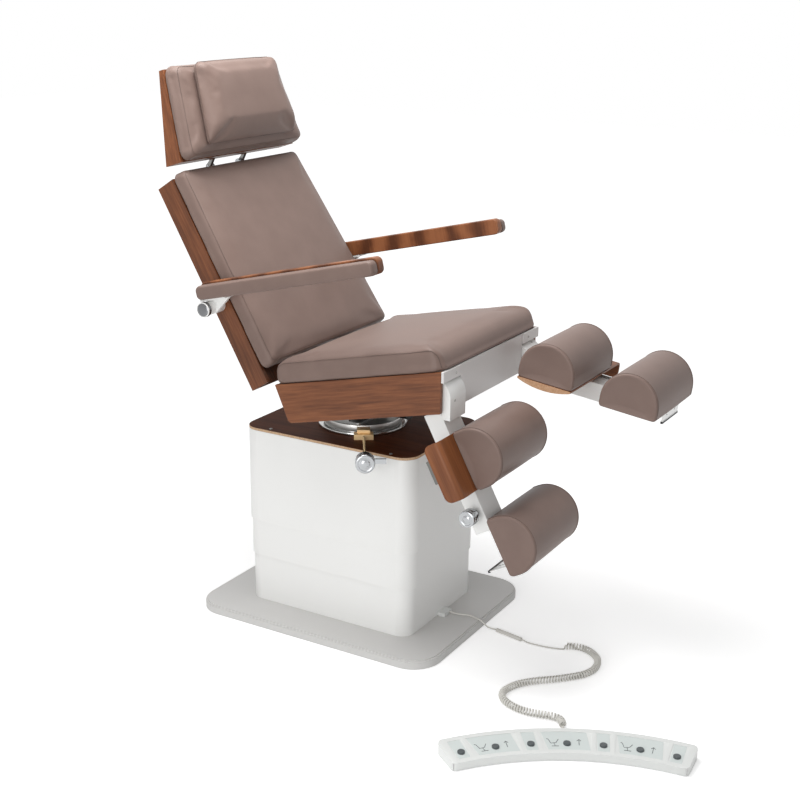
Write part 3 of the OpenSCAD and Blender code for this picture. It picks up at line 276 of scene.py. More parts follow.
def make_materials(look):
    wood = [(0.33, look.walnut_dark), (0.5, look.walnut_mid), (0.68, look.walnut_light)]
    # The back's veneer is the same walnut as the panels, given darker stops: painted shade on the back.
    deep = [(0.4, look.walnut_dark), (0.6, look.walnut_mid), (0.85, look.walnut_light)]
    board = [(0.3, "#43210f"), (0.5, "#5e311a"), (0.75, "#744023")]
    bright = [(0.3, "#5f3218"), (0.5, "#794625"), (0.72, "#8c5530")]
    plain_wood = {key: walnut("walnut veneer, " + title, home, along, stops) for key, title, home, along, stops in (
        ("seat_wood", "seat panels", SEAT, "y", wood), ("back_wood", "back", BACK, "z", deep),
        ("head_wood", "headrest", HEAD, "z", wood), ("right_leg_wood", "right calf shell", LEG["right"], "y", bright),
        ("left_leg_wood", "left calf shell", LEG["left"], "y", bright))}
    # The rod holders under the headrest's box are steel; the calf shells show their pale layers at the inner end
    other_below(plain_wood["head_wood"], HEAD, 2, 13.5, "#8d8d8b", 1.0, 0.35)
    for side in SIDES:
        with_edge(plain_wood[side + "_leg_wood"], 0, 0.7, "#c9a282", "#b78c69", 4, "GREATER_THAN", inside=270)
    top_board = walnut("dark stained birch plywood", Matrix.Identity(4), "y", board, rough=0.62, specular=0.08)
    with_edge(top_board, 2, 0.5, "#d3b393", "#b8977a", 3, "LESS_THAN")
    MATERIAL.update(
        leather=leather("taupe upholstery leather", look.leather, look.leather_dark, look.leather_light),
        # The seams and piping are the same leather given darker colours: painted shade in the seams.
        seam=leather("taupe leather seam with painted shade", look.leather_dark, look.seam, look.leather_dark),
        arm_wood=walnut("walnut veneer, armrests", ARM, "z", wood, figure=46),
        top_board=top_board,
        white=painted("white powder coat", look.white_paint, 0.36, 2.4),
        plate=painted("pale grey satin paint", look.plate_paint, 0.5, 2.0),
        front=painted("light grey powder coat", "#dcdad9", 0.3, 2.4),
        steel=metal("zinc-plated steel", "#9b9b99", 0.42, (1, 12, 1)),
        brushed=metal("brushed steel", "#c6c5c2", 0.38, (10, 1, 1)),
        polished=metal("polished steel", "#c4c4c3", 0.16),
        chrome=metal("chrome plate", "#a9abad", 0.13),
        cap=metal("dark chrome plate", "#77787a", 0.14),
        brass=metal("machined brass", "#fbdcab", 0.5, (1, 8, 1)),
        rubber=moulded("black rubber", "#1c1c1d", 0.55),
        motor=moulded("black moulded housing", "#232325", 0.45),
        button=moulded("grey button plastic", "#4b5153", 0.4),
        tab=moulded("grey lever plastic", "#6d6f6b", 0.5),
        abs=moulded("white moulded ABS", look.control_white, 0.33),
        panel=moulded("pale key panel film", "#d3dad8", 0.28),
        mark=moulded("grey printed mark", "#4a5052", 0.5),
        cord=moulded("soft pale cord jacket", look.cord, 0.42, 0.8),
        screw=metal("nickel-plated screw", "#a5a4a0", 0.3),
        **plain_wood,
    )
    for side in SIDES:
        plate = metal("polished steel plate with a rubber edge, " + side, "#c4c4c3", 0.2)
        other_below(plate, LEG[side], 2, -40.2, "#1c1c1d", 0.0, 0.55)
        MATERIAL["foot_plate_" + side] = plate


# ---- Mesh helpers


def new_object(name, data):
    made = bpy.data.objects.new(name, data)
    bpy.context.scene.collection.objects.link(made)
    return made


def add_piece(name, mesh, body, material, place=None, smooth=True):
    """A finished mesh as a piece that rides on a body, with its object at the origin."""
    if place is not None:
        mesh.transform(place)
    work = bmesh.new()
    work.from_mesh(mesh)
    bmesh.ops.recalc_face_normals(work, faces=work.faces)
    work.to_mesh(mesh)
    work.free()
    mesh.polygons.foreach_set("use_smooth", [smooth] * len(mesh.polygons))
    mesh.materials.clear()
    mesh.materials.append(MATERIAL[material])
    made = new_object(name, mesh)
    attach(made, body)
    return made


def new_mesh(name, points, faces):
    mesh = bpy.data.meshes.new(name)
    mesh.from_pydata([tuple(p) for p in points], [], faces)
    return mesh


def loft(rings, caps=True):
    """Points and faces of a skin over rows of points with one count each."""
    count = len(rings[0])
    points = [p for ring in rings for p in ring]
    faces = []
    for k in range(len(rings) - 1):
        for i in range(count):
            a, b = k * count + i, k * count + (i + 1) % count
            faces.append((a, b, b + count, a + count))
    if caps:
        last = (len(rings) - 1) * count
        faces.append(tuple(range(count - 1, -1, -1)))
        faces.append(tuple(range(last, last + count)))
    return points, faces


def outline(w, l, r, step):
    """Points round a rectangle with round corners, about step apart on its straights."""
    points = []
    corners = ((1, 1, 0), (-1, 1, 90), (-1, -1, 180), (1, -1, 270))
    straight = {0: max(1, round((2 * w - 2 * r) / step)), 1: max(1, round((2 * l - 2 * r) / step))}
    for k, (sx, sy, start) in enumerate(corners):
        cx, cy = sx * (w - r), sy * (l - r)
        for i in range(7):
            a = math.radians(start + 15 * i)
            points.append((cx + r * math.cos(a), cy + r * math.sin(a)))
        nx, ny, _ = corners[(k + 1) % 4]
        a = math.radians(start + 90)
        first = Vector((cx + r * math.cos(a), cy + r * math.sin(a)))
        second = Vector((nx * (w - r) + r * math.cos(a), ny * (l - r) + r * math.sin(a)))
        n = straight[k % 2]
        points += [tuple(first.lerp(second, i / n)) for i in range(1, n)]
    return points


def drop(radius, distance):
    """How far a rounded edge has fallen at this distance in from the side."""
    near = min(distance, radius)
    return radius - math.sqrt(max(0.0, radius**2 - (radius - near) ** 2))


def cushion_points(w, l, corner, high, crown, edge, front=0.0, rear=0.0, taper=0.0, step=14.0, bulge=1.5):
    """Rings of a crowned cushion on z = 0, in millimetres: its half sizes, the radius of its upper edge, and the
    larger ones at its front and rear."""
    insets = [0, 1.2, 3, 5.5, 9, 13, 18, 25, 34, 46, 62, 84, 112, 145, 180, 215, 250]
    insets = [d for d in insets if d < min(w, l) - 12]
    flat = outline(w, l, corner, step)

    def fallen(inset, y):
        return max(drop(edge, inset), drop(front, y + l), drop(rear, l - y))

    def ring(inset, height):
        points = [(x * (1 - inset / w), y * (1 - inset / l)) for x, y in flat]
        return [Vector((x * (1 + taper * y / l), y, height(x, y))) for x, y in points]

    rings = [ring(5, lambda x, y: 0), ring(1.5, lambda x, y: 2.5)]
    for share in (0.25, 0.5, 0.75):
        rings.append(ring(-bulge * math.sin(math.pi * share),
                          lambda x, y: max(3 + share, share * (high - fallen(0, y)))))
    for inset in insets:
        def top(x, y):
            rise = crown * (max(0, 1 - (x / w) ** 2) * max(0, 1 - (y / l) ** 2)) ** 0.8
            return high - fallen(inset, y) + rise
        rings.append(ring(inset, top))
    return rings


def strips(ring, first):
    """Faces across a closed ring, paired over its local x axis, so that no face has many corners."""
    count = len(ring)
    start = max(range(count), key=lambda i: ring[i].x - abs(ring[i].y))
    faces = []
    for i in range(count // 2):
        face = [start + i, start + i + 1, start - i - 1, start - i]
        face = list(dict.fromkeys(first + k % count for k in face))
        if len(face) > 2:
            faces.append(tuple(face))
    return faces


def cushion_mesh(name, rings):
    points, faces = loft(rings, caps=False)
    faces += strips(rings[0], 0) + strips(rings[-1], len(points) - len(rings[0]))
    return new_mesh(name, [p * MM for p in points], faces)


# The height up to which a cushion's base is held, in mm, and the Cloth's frames, pressure and stiffness
HELD_MM, FRAMES, PRESSURE, STIFFNESS = 6, 20, 4.0, 25


def inflate(piece, voxel_mm, cap_mm):
    """Swells a closed pad with Blender's Cloth, its base held, and no point moved further than the cap.
    The mesh is still in its own frame, where the base lies at z = 0."""
    scene = bpy.context.scene
    remesh = piece.modifiers.new("Remesh", "REMESH")
    remesh.mode = "VOXEL"
    remesh.voxel_size = voxel_mm * MM
    apply_modifiers(piece)
    rest = [v.co.copy() for v in piece.data.vertices]
    held = piece.vertex_groups.new(name="base")
    held.add([v.index for v in piece.data.vertices if v.co.z < HELD_MM * MM], 1.0, "REPLACE")
    cloth = piece.modifiers.new("Cloth", "CLOTH")
    cloth.settings.use_pressure = True
    cloth.settings.uniform_pressure_force = PRESSURE
    cloth.settings.effector_weights.gravity = 0
    cloth.settings.quality = 5
    cloth.settings.vertex_group_mass = "base"
    cloth.settings.tension_stiffness = cloth.settings.compression_stiffness = STIFFNESS
    cloth.point_cache.frame_start, cloth.point_cache.frame_end = 1, FRAMES
    for number in range(1, FRAMES + 1):
        scene.frame_set(number)
    apply_modifiers(piece)
    scene.frame_set(1)
    for v, old in zip(piece.data.vertices, rest):
        move = v.co - old
        if move.length > cap_mm * MM:
            v.co = old + move.normalized() * cap_mm * MM


def apply_modifiers(piece):
    graph = bpy.context.evaluated_depsgraph_get()
    made = bpy.data.meshes.new_from_object(piece.evaluated_get(graph), depsgraph=graph)
    old = piece.data
    piece.modifiers.clear()
    piece.data = made
    bpy.data.meshes.remove(old)


def subdivide(piece):
    level = piece.modifiers.new("Subdivision", "SUBSURF")
    level.levels = level.render_levels = 1


def soft_piece(name, rings, body, node, place, swell=None):
    """A cushion in its own frame: shaped, swollen where asked, smoothed, put in place on its body, with its CAD node
    hidden.
    """
    made = new_object(name, cushion_mesh(name, rings))
    if swell:
        inflate(made, *swell)
        smooth = made.modifiers.new("Smooth", "SMOOTH")
        smooth.factor, smooth.iterations = 0.5, 6
        apply_modifiers(made)
    else:
        subdivide(made)
        apply_modifiers(made)
    mesh = made.data.copy()
    bpy.data.objects.remove(made)
    made = add_piece(name, mesh, body, "leather", place)
    subdivide(made)
    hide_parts(node)
    return made


def tube(points, radius, sides=8, closed=False):
    """Rings of a tube along points, turned as little as they can be."""
    points = [Vector(p) for p in points]
    count = len(points)
    rings = []
    side = None
    for i, p in enumerate(points):
        ahead = points[(i + 1) % count] if closed or i < count - 1 else p
        behind = points[i - 1] if closed or i > 0 else p
        t = (ahead - behind).normalized()
        if side is None:
            side = Vector((0, 0, 1)) if abs(t.z) < 0.9 else Vector((1, 0, 0))
        side = (side - t * side.dot(t)).normalized()
        other = t.cross(side)
        turns = [math.tau * k / sides for k in range(sides)]
        rings.append([p + (side * math.cos(a) + other * math.sin(a)) * radius for a in turns])
    return rings


def tube_mesh(name, runs, radius, sides=8, closed=False):
    points, faces = [], []
    for run in runs:
        rings = tube(run, radius, sides, closed)
        more, shapes = loft(rings + rings[:1] if closed else rings, caps=not closed)
        faces += [tuple(i + len(points) for i in f) for f in shapes]
        points += more
    return new_mesh(name, points, faces)


def seam(name, piece, runs, body, radius_mm, closed=False):
    """A sewn seam or piping, most of it sunk in a cushion's surface, along runs of points in the row frame."""
    graph = bpy.context.evaluated_depsgraph_get()
    tree = BVHTree.FromObject(piece, graph)
    inverse = piece.matrix_world.inverted()
    laid = []
    for run in runs:
        line = []
        for p in run:
            spot, normal, _, _ = tree.find_nearest(inverse @ Vector(p))
            line.append(piece.matrix_world @ (spot + normal * radius_mm * MM * 0.3))
        laid.append(line)
    # The seam material is the leather darkened with painted shade.
    add_piece(name, tube_mesh(name, laid, radius_mm * MM, 6, closed), body, "seam")


def round_edge(place, flat, z, slant=0.0):
    """A run round a cushion's outline at one height, which widens by this share for each millimetre of y."""
    return [place @ (Vector((x * (1 + slant * y), y, z)) * MM) for x, y in flat]


def lathe(name, profile, steps=48):
    """A turned part about z from (radius, height) points in millimetres."""
    turns = [math.tau * k / steps for k in range(steps)]
    rings = [[Vector((r * math.cos(a), r * math.sin(a), z)) * MM for a in turns] for r, z in profile]
    return new_mesh(name, *loft(rings))


def rounded_block(name, size, bevel):
    work = bmesh.new()
    bmesh.ops.create_cube(work, size=1)
    bmesh.ops.scale(work, vec=Vector(size) * MM, verts=work.verts)
    bmesh.ops.bevel(work, geom=list(work.edges), offset=bevel * MM, segments=2, affect="EDGES", profile=0.5)
    mesh = bpy.data.meshes.new(name)
    work.to_mesh(mesh)
    work.free()
    return mesh


# Points this near are one, faces within this angle are flat, and edges sharper than this are rounded: mm and degrees
WELD_MM, FLAT_ANGLE, SHARP_ANGLE = 0.02, 0.6, 32


def dress(node, material, bevel_mm=0.8, segments=2):
    """Gives a CAD node its material and fine rounded edges; its own mesh stays as it is."""
    piece = frame["nodes"][node]
    piece.data.materials.clear()
    piece.data.materials.append(MATERIAL[material])
    if bevel_mm:
        weld = piece.modifiers.new("Weld", "WELD")
        weld.merge_threshold = WELD_MM * MM
        flat = piece.modifiers.new("Flat faces", "DECIMATE")
        flat.decimate_type = "DISSOLVE"
        flat.angle_limit = math.radians(FLAT_ANGLE)
        edge = piece.modifiers.new("Edges", "BEVEL")
        edge.width = bevel_mm * MM
        edge.segments = segments
        edge.limit_method = "ANGLE"
        edge.angle_limit = math.radians(SHARP_ANGLE)


# ---- Settings


class ChairSizes(bpy.types.PropertyGroup):
    camera_azimuth: FloatProperty(
        name="Camera azimuth", description="Camera's turn round the chair, 0 at its front",
        default=math.radians(-59.641), subtype="ANGLE")
    camera_height: FloatProperty(
        name="Camera elevation", description="Camera's angle above the horizon",
        default=math.radians(17.375), subtype="ANGLE")
    camera_roll: FloatProperty(
        name="Camera roll", description="Camera's tilt about its view", default=math.radians(0.637), subtype="ANGLE")
    camera_place: FloatVectorProperty(
        name="Camera place", description="Where the camera stands",
        default=(-2.93687, -1.83407, 1.66165), subtype="TRANSLATION", unit="LENGTH")
    lens: FloatProperty(name="Lens", description="Focal length of the camera", default=61.746, unit="CAMERA")
    cord_radius: FloatProperty(name="Cord radius", description="Radius of the cord", default=0.0022, unit="LENGTH")
    curl_diameter: FloatProperty(
        name="Curl diameter", description="Outer diameter of the curly cord", default=0.019, unit="LENGTH")
    curls: IntProperty(name="Curls", description="Turns of the curly cord", default=90, min=20, max=100)
    seat_cushion: FloatProperty(
        name="Seat cushion thickness", description="Height of the seat cushion's side", default=0.059, unit="LENGTH")
    back_cushion: FloatProperty(
        name="Back cushion thickness", description="Depth of the back cushion's side", default=0.042, unit="LENGTH")
    head_cushion: FloatProperty(
        name="Headrest cushion thickness", description="Depth of the headrest cushion's side",
        default=0.043, unit="LENGTH")
    crown: FloatProperty(name="Crown", description="Rise in the middle of a cushion", default=0.008, unit="LENGTH")
    floor: FloatProperty(name="Floor size", description="Half width of the studio floor", default=12.0, unit="LENGTH")


class ChairLooks(bpy.types.PropertyGroup):
    leather: StringProperty(name="Leather", description="Upholstery colour, sRGB hex", default="#79655d")
    leather_dark: StringProperty(name="Leather, dark", description="Darker patches of the leather", default="#76625a")
    leather_light: StringProperty(
        name="Leather, light", description="Lighter patches of the leather", default="#7d6961")
    # The seam colour is a darker leather tone: painted shade in the seams.
    seam: StringProperty(name="Seams", description="Colour in the seams", default="#584942")
    walnut_dark: StringProperty(name="Walnut, dark", description="Dark streaks of the veneer", default="#552f1a")
    walnut_mid: StringProperty(name="Walnut", description="Main colour of the veneer", default="#76462a")
    walnut_light: StringProperty(name="Walnut, light", description="Light streaks of the veneer", default="#8e5938")
    white_paint: StringProperty(name="White paint", description="Paint of the column and brackets", default="#f1f1ef")
    plate_paint: StringProperty(name="Floor plate paint", description="Paint of the floor plate", default="#d3d2d0")
    control_white: StringProperty(name="Foot control", description="Plastic of the foot control", default="#e0e2e0")
    cord: StringProperty(name="Cord", description="Jacket of the cord", default="#dcdad4")


# ---- Operators


class CHAIR_OT_camera(bpy.types.Operator):
    """Sets the camera at the photograph's viewing angle"""

    bl_idname = "chair.camera"
    bl_label = "Camera"

    def execute(self, context):
        size = context.scene.chair_sizes
        a, e, roll = size.camera_azimuth, size.camera_height, size.camera_roll
        back = Vector((math.sin(a) * math.cos(e), -math.cos(a) * math.cos(e), math.sin(e)))
        level = Vector((math.cos(a), math.sin(a), 0))
        up = back.cross(level)
        right = level * math.cos(roll) + up * math.sin(roll)
        made = new_object("camera", bpy.data.cameras.new("camera"))
        made.matrix_world = Matrix((right, back.cross(right), back)).transposed().to_4x4()
        made.location = size.camera_place
        made.data.lens = size.lens
        made.data.sensor_width = 36
        made.data.clip_end = 100
        context.scene.camera = made
        return {"FINISHED"}


# The cord's route in millimetres: from the outlet over the floor plate, the thin part, the middle line of the curls
LEAD = [(9, -262, 28), (9, -276, 28), (10, -288, 27), (15, -304, 25.6), (21, -322, 25.4), (17, -342, 25.4),
        (12, -358, 25.6), (12, -368, 21), (15, -380, 10), (19, -392, 5.6), (20, -400, 5.5), (20, -406, 5.5)]
THIN = [(4, -485, 5.5), (3, -491, 5.5), (2, -504, 3), (3, -525, 2.4), (5, -550, 2.4), (10, -575, 2.4),
        (14, -587, 2.4), (17, -595, 2.4)]
CURLY = [(17, -595), (27, -606), (35, -622), (37, -643), (32, -662), (21, -680), (2, -698), (-26, -709),
         (-58, -711), (-90, -700), (-122, -675), (-152, -645), (-182, -612), (-212, -587), (-243, -573), (-271, -569),
         (-293, -578), (-309, -595), (-319, -617), (-324, -642), (-323, -670), (-317, -697), (-312, -718),
         (-314, -736), (-326, -748), (-344, -758.2)]
# Height of the cord relief, length over which the cord climbs to it, its gap to the floor, and steps in a curl
RELIEF_Z, RELIEF_RUN, FLOOR_GAP, CURL_STEPS = 7.0, 19, 0.2, 12


def curve(points, n):
    """A smooth curve through points, n steps between two of them."""
    p = [Vector(q) for q in points]
    line = []
    for i in range(len(p) - 1):
        a = p[i - 1] if i else 2 * p[0] - p[1]
        d = p[i + 2] if i < len(p) - 2 else 2 * p[i + 1] - p[i]
        b, c = p[i], p[i + 1]
        for k in range(n + (i == len(p) - 2)):
            t = k / n
            square, cube = 2 * a - 5 * b + 4 * c - d, 3 * b - a - 3 * c + d
            line.append(0.5 * (2 * b + (c - a) * t + square * t * t + cube * t**3))
    return line


def curly_line(size):
    """The curly part in millimetres: a helix that lies on the floor along its route, drawn in at both ends."""
    axis = curve([(x, y, 0) for x, y in CURLY], 12)
    runs = [0.0]
    for a, b in zip(axis, axis[1:]):
        runs.append(runs[-1] + (b - a).length)
    whole = runs[-1]
    thick = 2 * size.cord_radius / MM
    wide = (size.curl_diameter / MM - thick) / 2
    low = thick / 2 + FLOOR_GAP
    steps = size.curls * CURL_STEPS
    line, k = [], 0
    for i in range(steps + 1):
        s = whole * i / steps
        while k < len(runs) - 2 and runs[k + 1] < s:
            k += 1
        t = axis[k + 1] - axis[k]
        spot = axis[k] + t * ((s - runs[k]) / (runs[k + 1] - runs[k]))
        t.normalize()
        near = min(1, max(0, s - thick) / (2 * thick), max(0, whole - thick - s) / (2 * thick))
        swell = near * near * (3 - 2 * near)
        floor = low + wide * swell + (RELIEF_Z - low) * max(0, 1 - (whole - s) / RELIEF_RUN) ** 2
        turn = math.tau * size.curls * s / whole
        out = Vector((-t.y, t.x, 0)) * math.cos(turn) + Vector((0, 0, 1)) * math.sin(turn)
        line.append(spot + Vector((0, 0, floor)) + out * wide * swell)
    return line


class CHAIR_OT_cord(bpy.types.Operator):
    """Makes the foot control's cord in one unbroken run, from the column to the control"""

    bl_idname = "chair.cord"
    bl_label = "Cord"

    def execute(self, context):
        size = context.scene.chair_sizes
        lead = curve(LEAD, 5)
        sleeve = [Vector(LEAD[-1]).lerp(Vector(THIN[0]), k / 8) for k in range(1, 8)]
        curly = curly_line(size)
        inward = curly[-1] - Vector((*CURLY[-2], RELIEF_Z))
        inward.z = 0
        tail = [curly[-1] + inward.normalized() * d for d in (2, 4)]
        path = [p * MM for p in lead + sleeve + curve(THIN, 5)[:-1] + curly + tail]
        mesh = tube_mesh("curly_cord_run", [path], size.cord_radius, 8)
        made = add_piece("curly_cord_run", mesh, "root", "cord")
        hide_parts("cord_lead", "curly_cord")
        for node in ("cord_sleeve", "cord_relief"):
            dress(node, "cord", 0.6)
        dress("cable_outlet", "abs", 1.2)
        return {"FINISHED"}


class CHAIR_OT_seat_cushion(bpy.types.Operator):
    """Makes the seat cushion, with its rolled front edge and side seams"""

    bl_idname = "chair.seat_cushion"
    bl_label = "Seat cushion"

    def execute(self, context):
        size = context.scene.chair_sizes
        high, crown = size.seat_cushion / MM, size.crown / MM
        w, l = 273, 242
        rings = cushion_points(w - 2, l - 2, 30, high, crown, 10, front=40, rear=45, taper=11 / 273, bulge=1.2)
        place = SEAT @ at(0, -165, 68)
        made = soft_piece("seat_cushion_leather", rings, "seat", "seat_cushion", place, swell=(6, 5))
        runs = []
        for side in (-1, 1):
            line = []
            for a in range(80, 0, -10):
                turn = math.radians(a)
                line.append((side * (w + 3), l - 47 + 44 * math.sin(turn), high - 51 + 44 * math.cos(turn)))
            line += [(side * (w - 4 + 11 * y / l), y, high - 5) for y in range(192, -200, -12)]
            for a in range(0, 95, 10):
                turn = math.radians(a)
                line.append((side * (w - 15), -l + 39 - 37 * math.sin(turn), high - 43 + 38 * math.cos(turn)))
            line.append((side * (w - 15), -l + 1, 4))
            runs.append([place @ (Vector(p) * MM) for p in line])
        seam("seat_cushion_seams", made, runs, "seat", 1.0)
        return {"FINISHED"}


class CHAIR_OT_back_cushion(bpy.types.Operator):
    """Makes the backrest cushion with its piping"""

    bl_idname = "chair.back_cushion"
    bl_label = "Back cushion"

    def execute(self, context):
        size = context.scene.chair_sizes
        high, crown = size.back_cushion / MM, size.crown / MM
        # The back is 281 mm half wide at its foot and 31 mm less at its top, 567 mm higher
        half_l, foot, lean = 273, 32, 31 / 567
        mid = foot + half_l
        mid_w = 281 - lean * mid + 3
        taper = -lean * half_l / mid_w
        rings = cushion_points(mid_w - 1, half_l - 1, 18, high, crown, 9, taper=taper)
        place = BACK @ at(0, -6, mid) @ STAND
        made = soft_piece("back_cushion_leather", rings, "backrest", "back_cushion", place, swell=(6, 5))
        line = round_edge(place, outline(mid_w - 7, half_l - 7, 14, 14), high + 1, taper / half_l)
        seam("back_cushion_piping", made, [line], "backrest", 0.9, closed=True)
        return {"FINISHED"}


def pillow_rings(w, l, corner, high, taper):
    """A stuffed pillow that lies on its base: steep sides, a nearly flat front and a long slope at its lower end."""
    flat = outline(w, l, corner, 12)
    shape = [(34, 0), (14, 0), (5, 0.02), (1.2, 0.1), (0, 0.25), (0, 0.42), (1, 0.58), (3, 0.72), (7, 0.84),
             (13, 0.92), (22, 0.97), (36, 1.0), (56, 1.03), (78, 1.05)]
    rings = []
    for inset, height in shape:
        ring = []
        for x, y in flat:
            y *= 1 - inset / l
            low = max(0, 1 - (y + l) / 52) ** 2 * 0.78
            ring.append(Vector((x * (1 - inset / w) * (1 + taper * y / l), y, height * high * (1 - low))))
        rings.append(ring)
    return rings


class CHAIR_OT_head_cushions(bpy.types.Operator):
    """Makes the headrest cushion and the pillow in front of it"""

    bl_idname = "chair.head_cushions"
    bl_label = "Headrest cushion and pillow"

    def execute(self, context):
        size = context.scene.chair_sizes
        high, crown = size.head_cushion / MM, size.crown / MM
        # The headrest's box is 245 mm half wide at its foot and 213 mm at its top, 238 mm higher; its face is at -58
        half_l, face = 119, -58
        mid_w = (245 + 213) / 2 + 3
        taper = (213 - 245) / 238 * half_l / mid_w
        rings = cushion_points(mid_w - 1, half_l - 1, 22, high, crown, 12, taper=taper, step=12)
        place = HEAD @ at(0, face, 15 + half_l) @ STAND
        made = soft_piece("headrest_cushion_leather", rings, "headrest", "head_cushion", place, swell=(5, 5))
        line = round_edge(place, outline(mid_w - 6, half_l - 6, 18, 12), high, taper / half_l)
        seam("headrest_cushion_piping", made, [line], "headrest", 0.9, closed=True)
        w, l, taper = 175.5, 105, -0.08
        place = HEAD @ at(-4, face - 43 - 8.3, 36 + 105.5) @ STAND
        rings = pillow_rings(w, l, 16, 39, taper)
        pillow = soft_piece("head_pillow_leather", rings, "headrest", "head_pillow", place, swell=(5, 5))
        line = round_edge(place, outline(w, l, 16, 12), 12, taper / l)
        seam("head_pillow_piping", pillow, [line], "headrest", 1.0, closed=True)
        return {"FINISHED"}


class CHAIR_OT_arm_pads(bpy.types.Operator):
    """Makes the two armrest pads"""

    bl_idname = "chair.arm_pads"
    bl_label = "Armrest pads"

    def execute(self, context):
        half_l, half_h = 263, 17.8
        turn = spin("Z", 90) @ STAND
        for side in SIDES:
            rings = cushion_points(half_l, half_h, 12, 28, 1, 7, step=16, bulge=0.5)
            place = MIRROR[side] @ ARM @ at(314, 12 - 264, 24 + 18) @ turn
            made = soft_piece("arm_pad_leather_" + side, rings, "arm_" + side, "arm_pad_" + side, place)
            line = round_edge(place, outline(half_l, half_h, 12, 14), 4)
            seam("arm_pad_seam_" + side, made, [line], "arm_" + side, 0.8, closed=True)
        return {"FINISHED"}


def leg_cushion_rings(r, side, length):
    """A half-round leg cushion along x: flat base, round top, ends slightly full inside their seams."""
    foot = 7.0

    def section(x, inset):
        half, low = r - inset, inset * 0.4
        inner, base = half - foot, low + foot
        turns = [math.pi * k / 24 for k in range(25)]
        points = [(half * math.cos(a), side + half * math.sin(a)) for a in turns]
        points += [(-half, side - (side - base) * k / 4) for k in range(1, 5)]
        bend = [(inner + foot * math.sin(a), base - foot * math.cos(a)) for a in turns[:13:3]]
        points += [(-y, z) for y, z in bend[3::-1]]
        points += [(inner * (k / 4 - 1), low) for k in range(1, 8)] + bend
        points += [(half, base + (side - base) * k / 4) for k in range(1, 4)]
        return [Vector((x, y, z)) for y, z in points]

    ends = [(3.5, 44), (3.0, 30), (2.2, 17), (1.4, 9), (0.9, 4.6), (1.6, 1.8), (3.4, 0.5), (6, 0), (9, 0)]
    rings = [section(x, inset) for x, inset in ends]
    rings += [section(length * s, -0.7 * math.sin(math.pi * s)) for s in (0.08, 0.2, 0.35, 0.5, 0.65, 0.8, 0.92)]
    return rings + [section(length - x, inset) for x, inset in reversed(ends)]


class CHAIR_OT_leg_cushions(bpy.types.Operator):
    """Makes the two calf cushions and the two foot cushions"""

    bl_idname = "chair.leg_cushions"
    bl_label = "Leg cushions"

    def execute(self, context):
        r, flat_side, length = 73.5, 26, 257
        for side in SIDES:
            for part, body, along, base in (("calf", "leg_", 167, 18), ("foot", "leg_extension_", 386, 6)):
                rings = leg_cushion_rings(r, flat_side, length)
                place = MIRROR[side] @ LEG[side] @ at(6.5, -along, base)
                name = part + "_cushion_"
                made = soft_piece(name + "leather_" + side, rings, body + side, name + side, place)
                lines = []
                for x in (7.5, length - 7.5):
                    line = [(x, r * math.cos(math.radians(a)), flat_side + r * math.sin(math.radians(a)))
                            for a in range(0, 181, 6)]
                    line = [(x, r, flat_side * k / 4) for k in range(1, 4)] + line
                    line += [(x, -r, flat_side * k / 4) for k in (3, 2, 1)]
                    lines.append([place @ (Vector(p) * MM) for p in line])
                seam(name + "seams_" + side, made, lines, body + side, 1.0)
        return {"FINISHED"}


class CHAIR_OT_wood(bpy.types.Operator):
    """Gives the boards, panels and shells their walnut veneer"""

    bl_idname = "chair.wood"
    bl_label = "Wood"

    def execute(self, context):
        dress("column_top_board", "top_board", 1.0)
        dress("seat_panels", "seat_wood", 1.2)
        dress("back_shell", "back_wood", 1.5)
        dress("head_shell", "head_wood", 1.5)
        for side in SIDES:
            dress("arm_wood_" + side, "arm_wood", 2.5, 3)
            dress("leg_shell_" + side, side + "_leg_wood", 1.2)
        return {"FINISHED"}


class CHAIR_OT_column(bpy.types.Operator):
    """Paints the floor plate, the column's covers and the lifting tubes"""

    bl_idname = "chair.column"
    bl_label = "Floor plate and column"

    def execute(self, context):
        dress("base_plate", "plate", 0)
        for level in ("lower", "middle", "upper"):
            dress("column_cover_" + level, "white", 0.8)
        for level in ("outer", "middle", "inner"):
            dress("lift_tube_" + level, "steel", 0.8)
        return {"FINISHED"}


class CHAIR_OT_seat_metal(bpy.types.Operator):
    """Finishes the turntable, the seat's frame and the drives"""

    bl_idname = "chair.seat_metal"
    bl_label = "Turntable and frames"

    def execute(self, context):
        for node, material, bevel in (
                ("turntable_flange", "polished", 1.2), ("turntable_disc", "brushed", 1.5),
                ("tilt_yoke", "steel", 0.8), ("tilt_motor", "motor", 2.0), ("seat_frame", "steel", 0.6),
                ("seat_front_plate", "front", 0.8), ("recline_motor", "motor", 1.5),
                ("recline_rod", "polished", 0.5), ("back_frame", "steel", 0.6), ("head_rods", "chrome", 0.6),
                ("brake_block", "brass", 0.8)):
            dress(node, material, bevel)
        for side in SIDES:
            dress("arm_bracket_" + side, "white", 0.8)
            dress("leg_beam_" + side, "white", 1.2)
            dress("leg_slide_" + side, "steel", 0.8)
            dress("foot_plate_" + side, "foot_plate_" + side, 0.5)
        return {"FINISHED"}


# The brake knob's direction from above in degrees, and its reach from the turntable's middle in mm
BRAKE_TURN, BRAKE_REACH = 213, 345
BOARD_TOP = 514.6


def knob_profile(r, thick=26.3):
    """A turning knob: a collar, a deep groove, a full rim with soft edges and a face with one ring cut in it."""
    shares = [(0.62, 0.22), (0.88, 0.24), (0.97, 0.29), (1, 0.36), (1, 0.5), (0.955, 0.53), (0.955, 0.58), (1, 0.61),
              (1, 0.86), (0.97, 0.95), (0.9, 1), (0.66, 1)]
    rim = [(r * across, thick * along) for across, along in shares]
    ring = [(r * 0.64, thick - 0.9), (r * 0.5, thick - 0.9), (r * 0.48, thick), (r * 0.1, thick)]
    return [(r * 0.42, 0), (r * 0.6, 0.6)] + rim + ring


def turned_piece(name, profile, body, material, place):
    add_piece(name, lathe(name, profile), body, material, place)


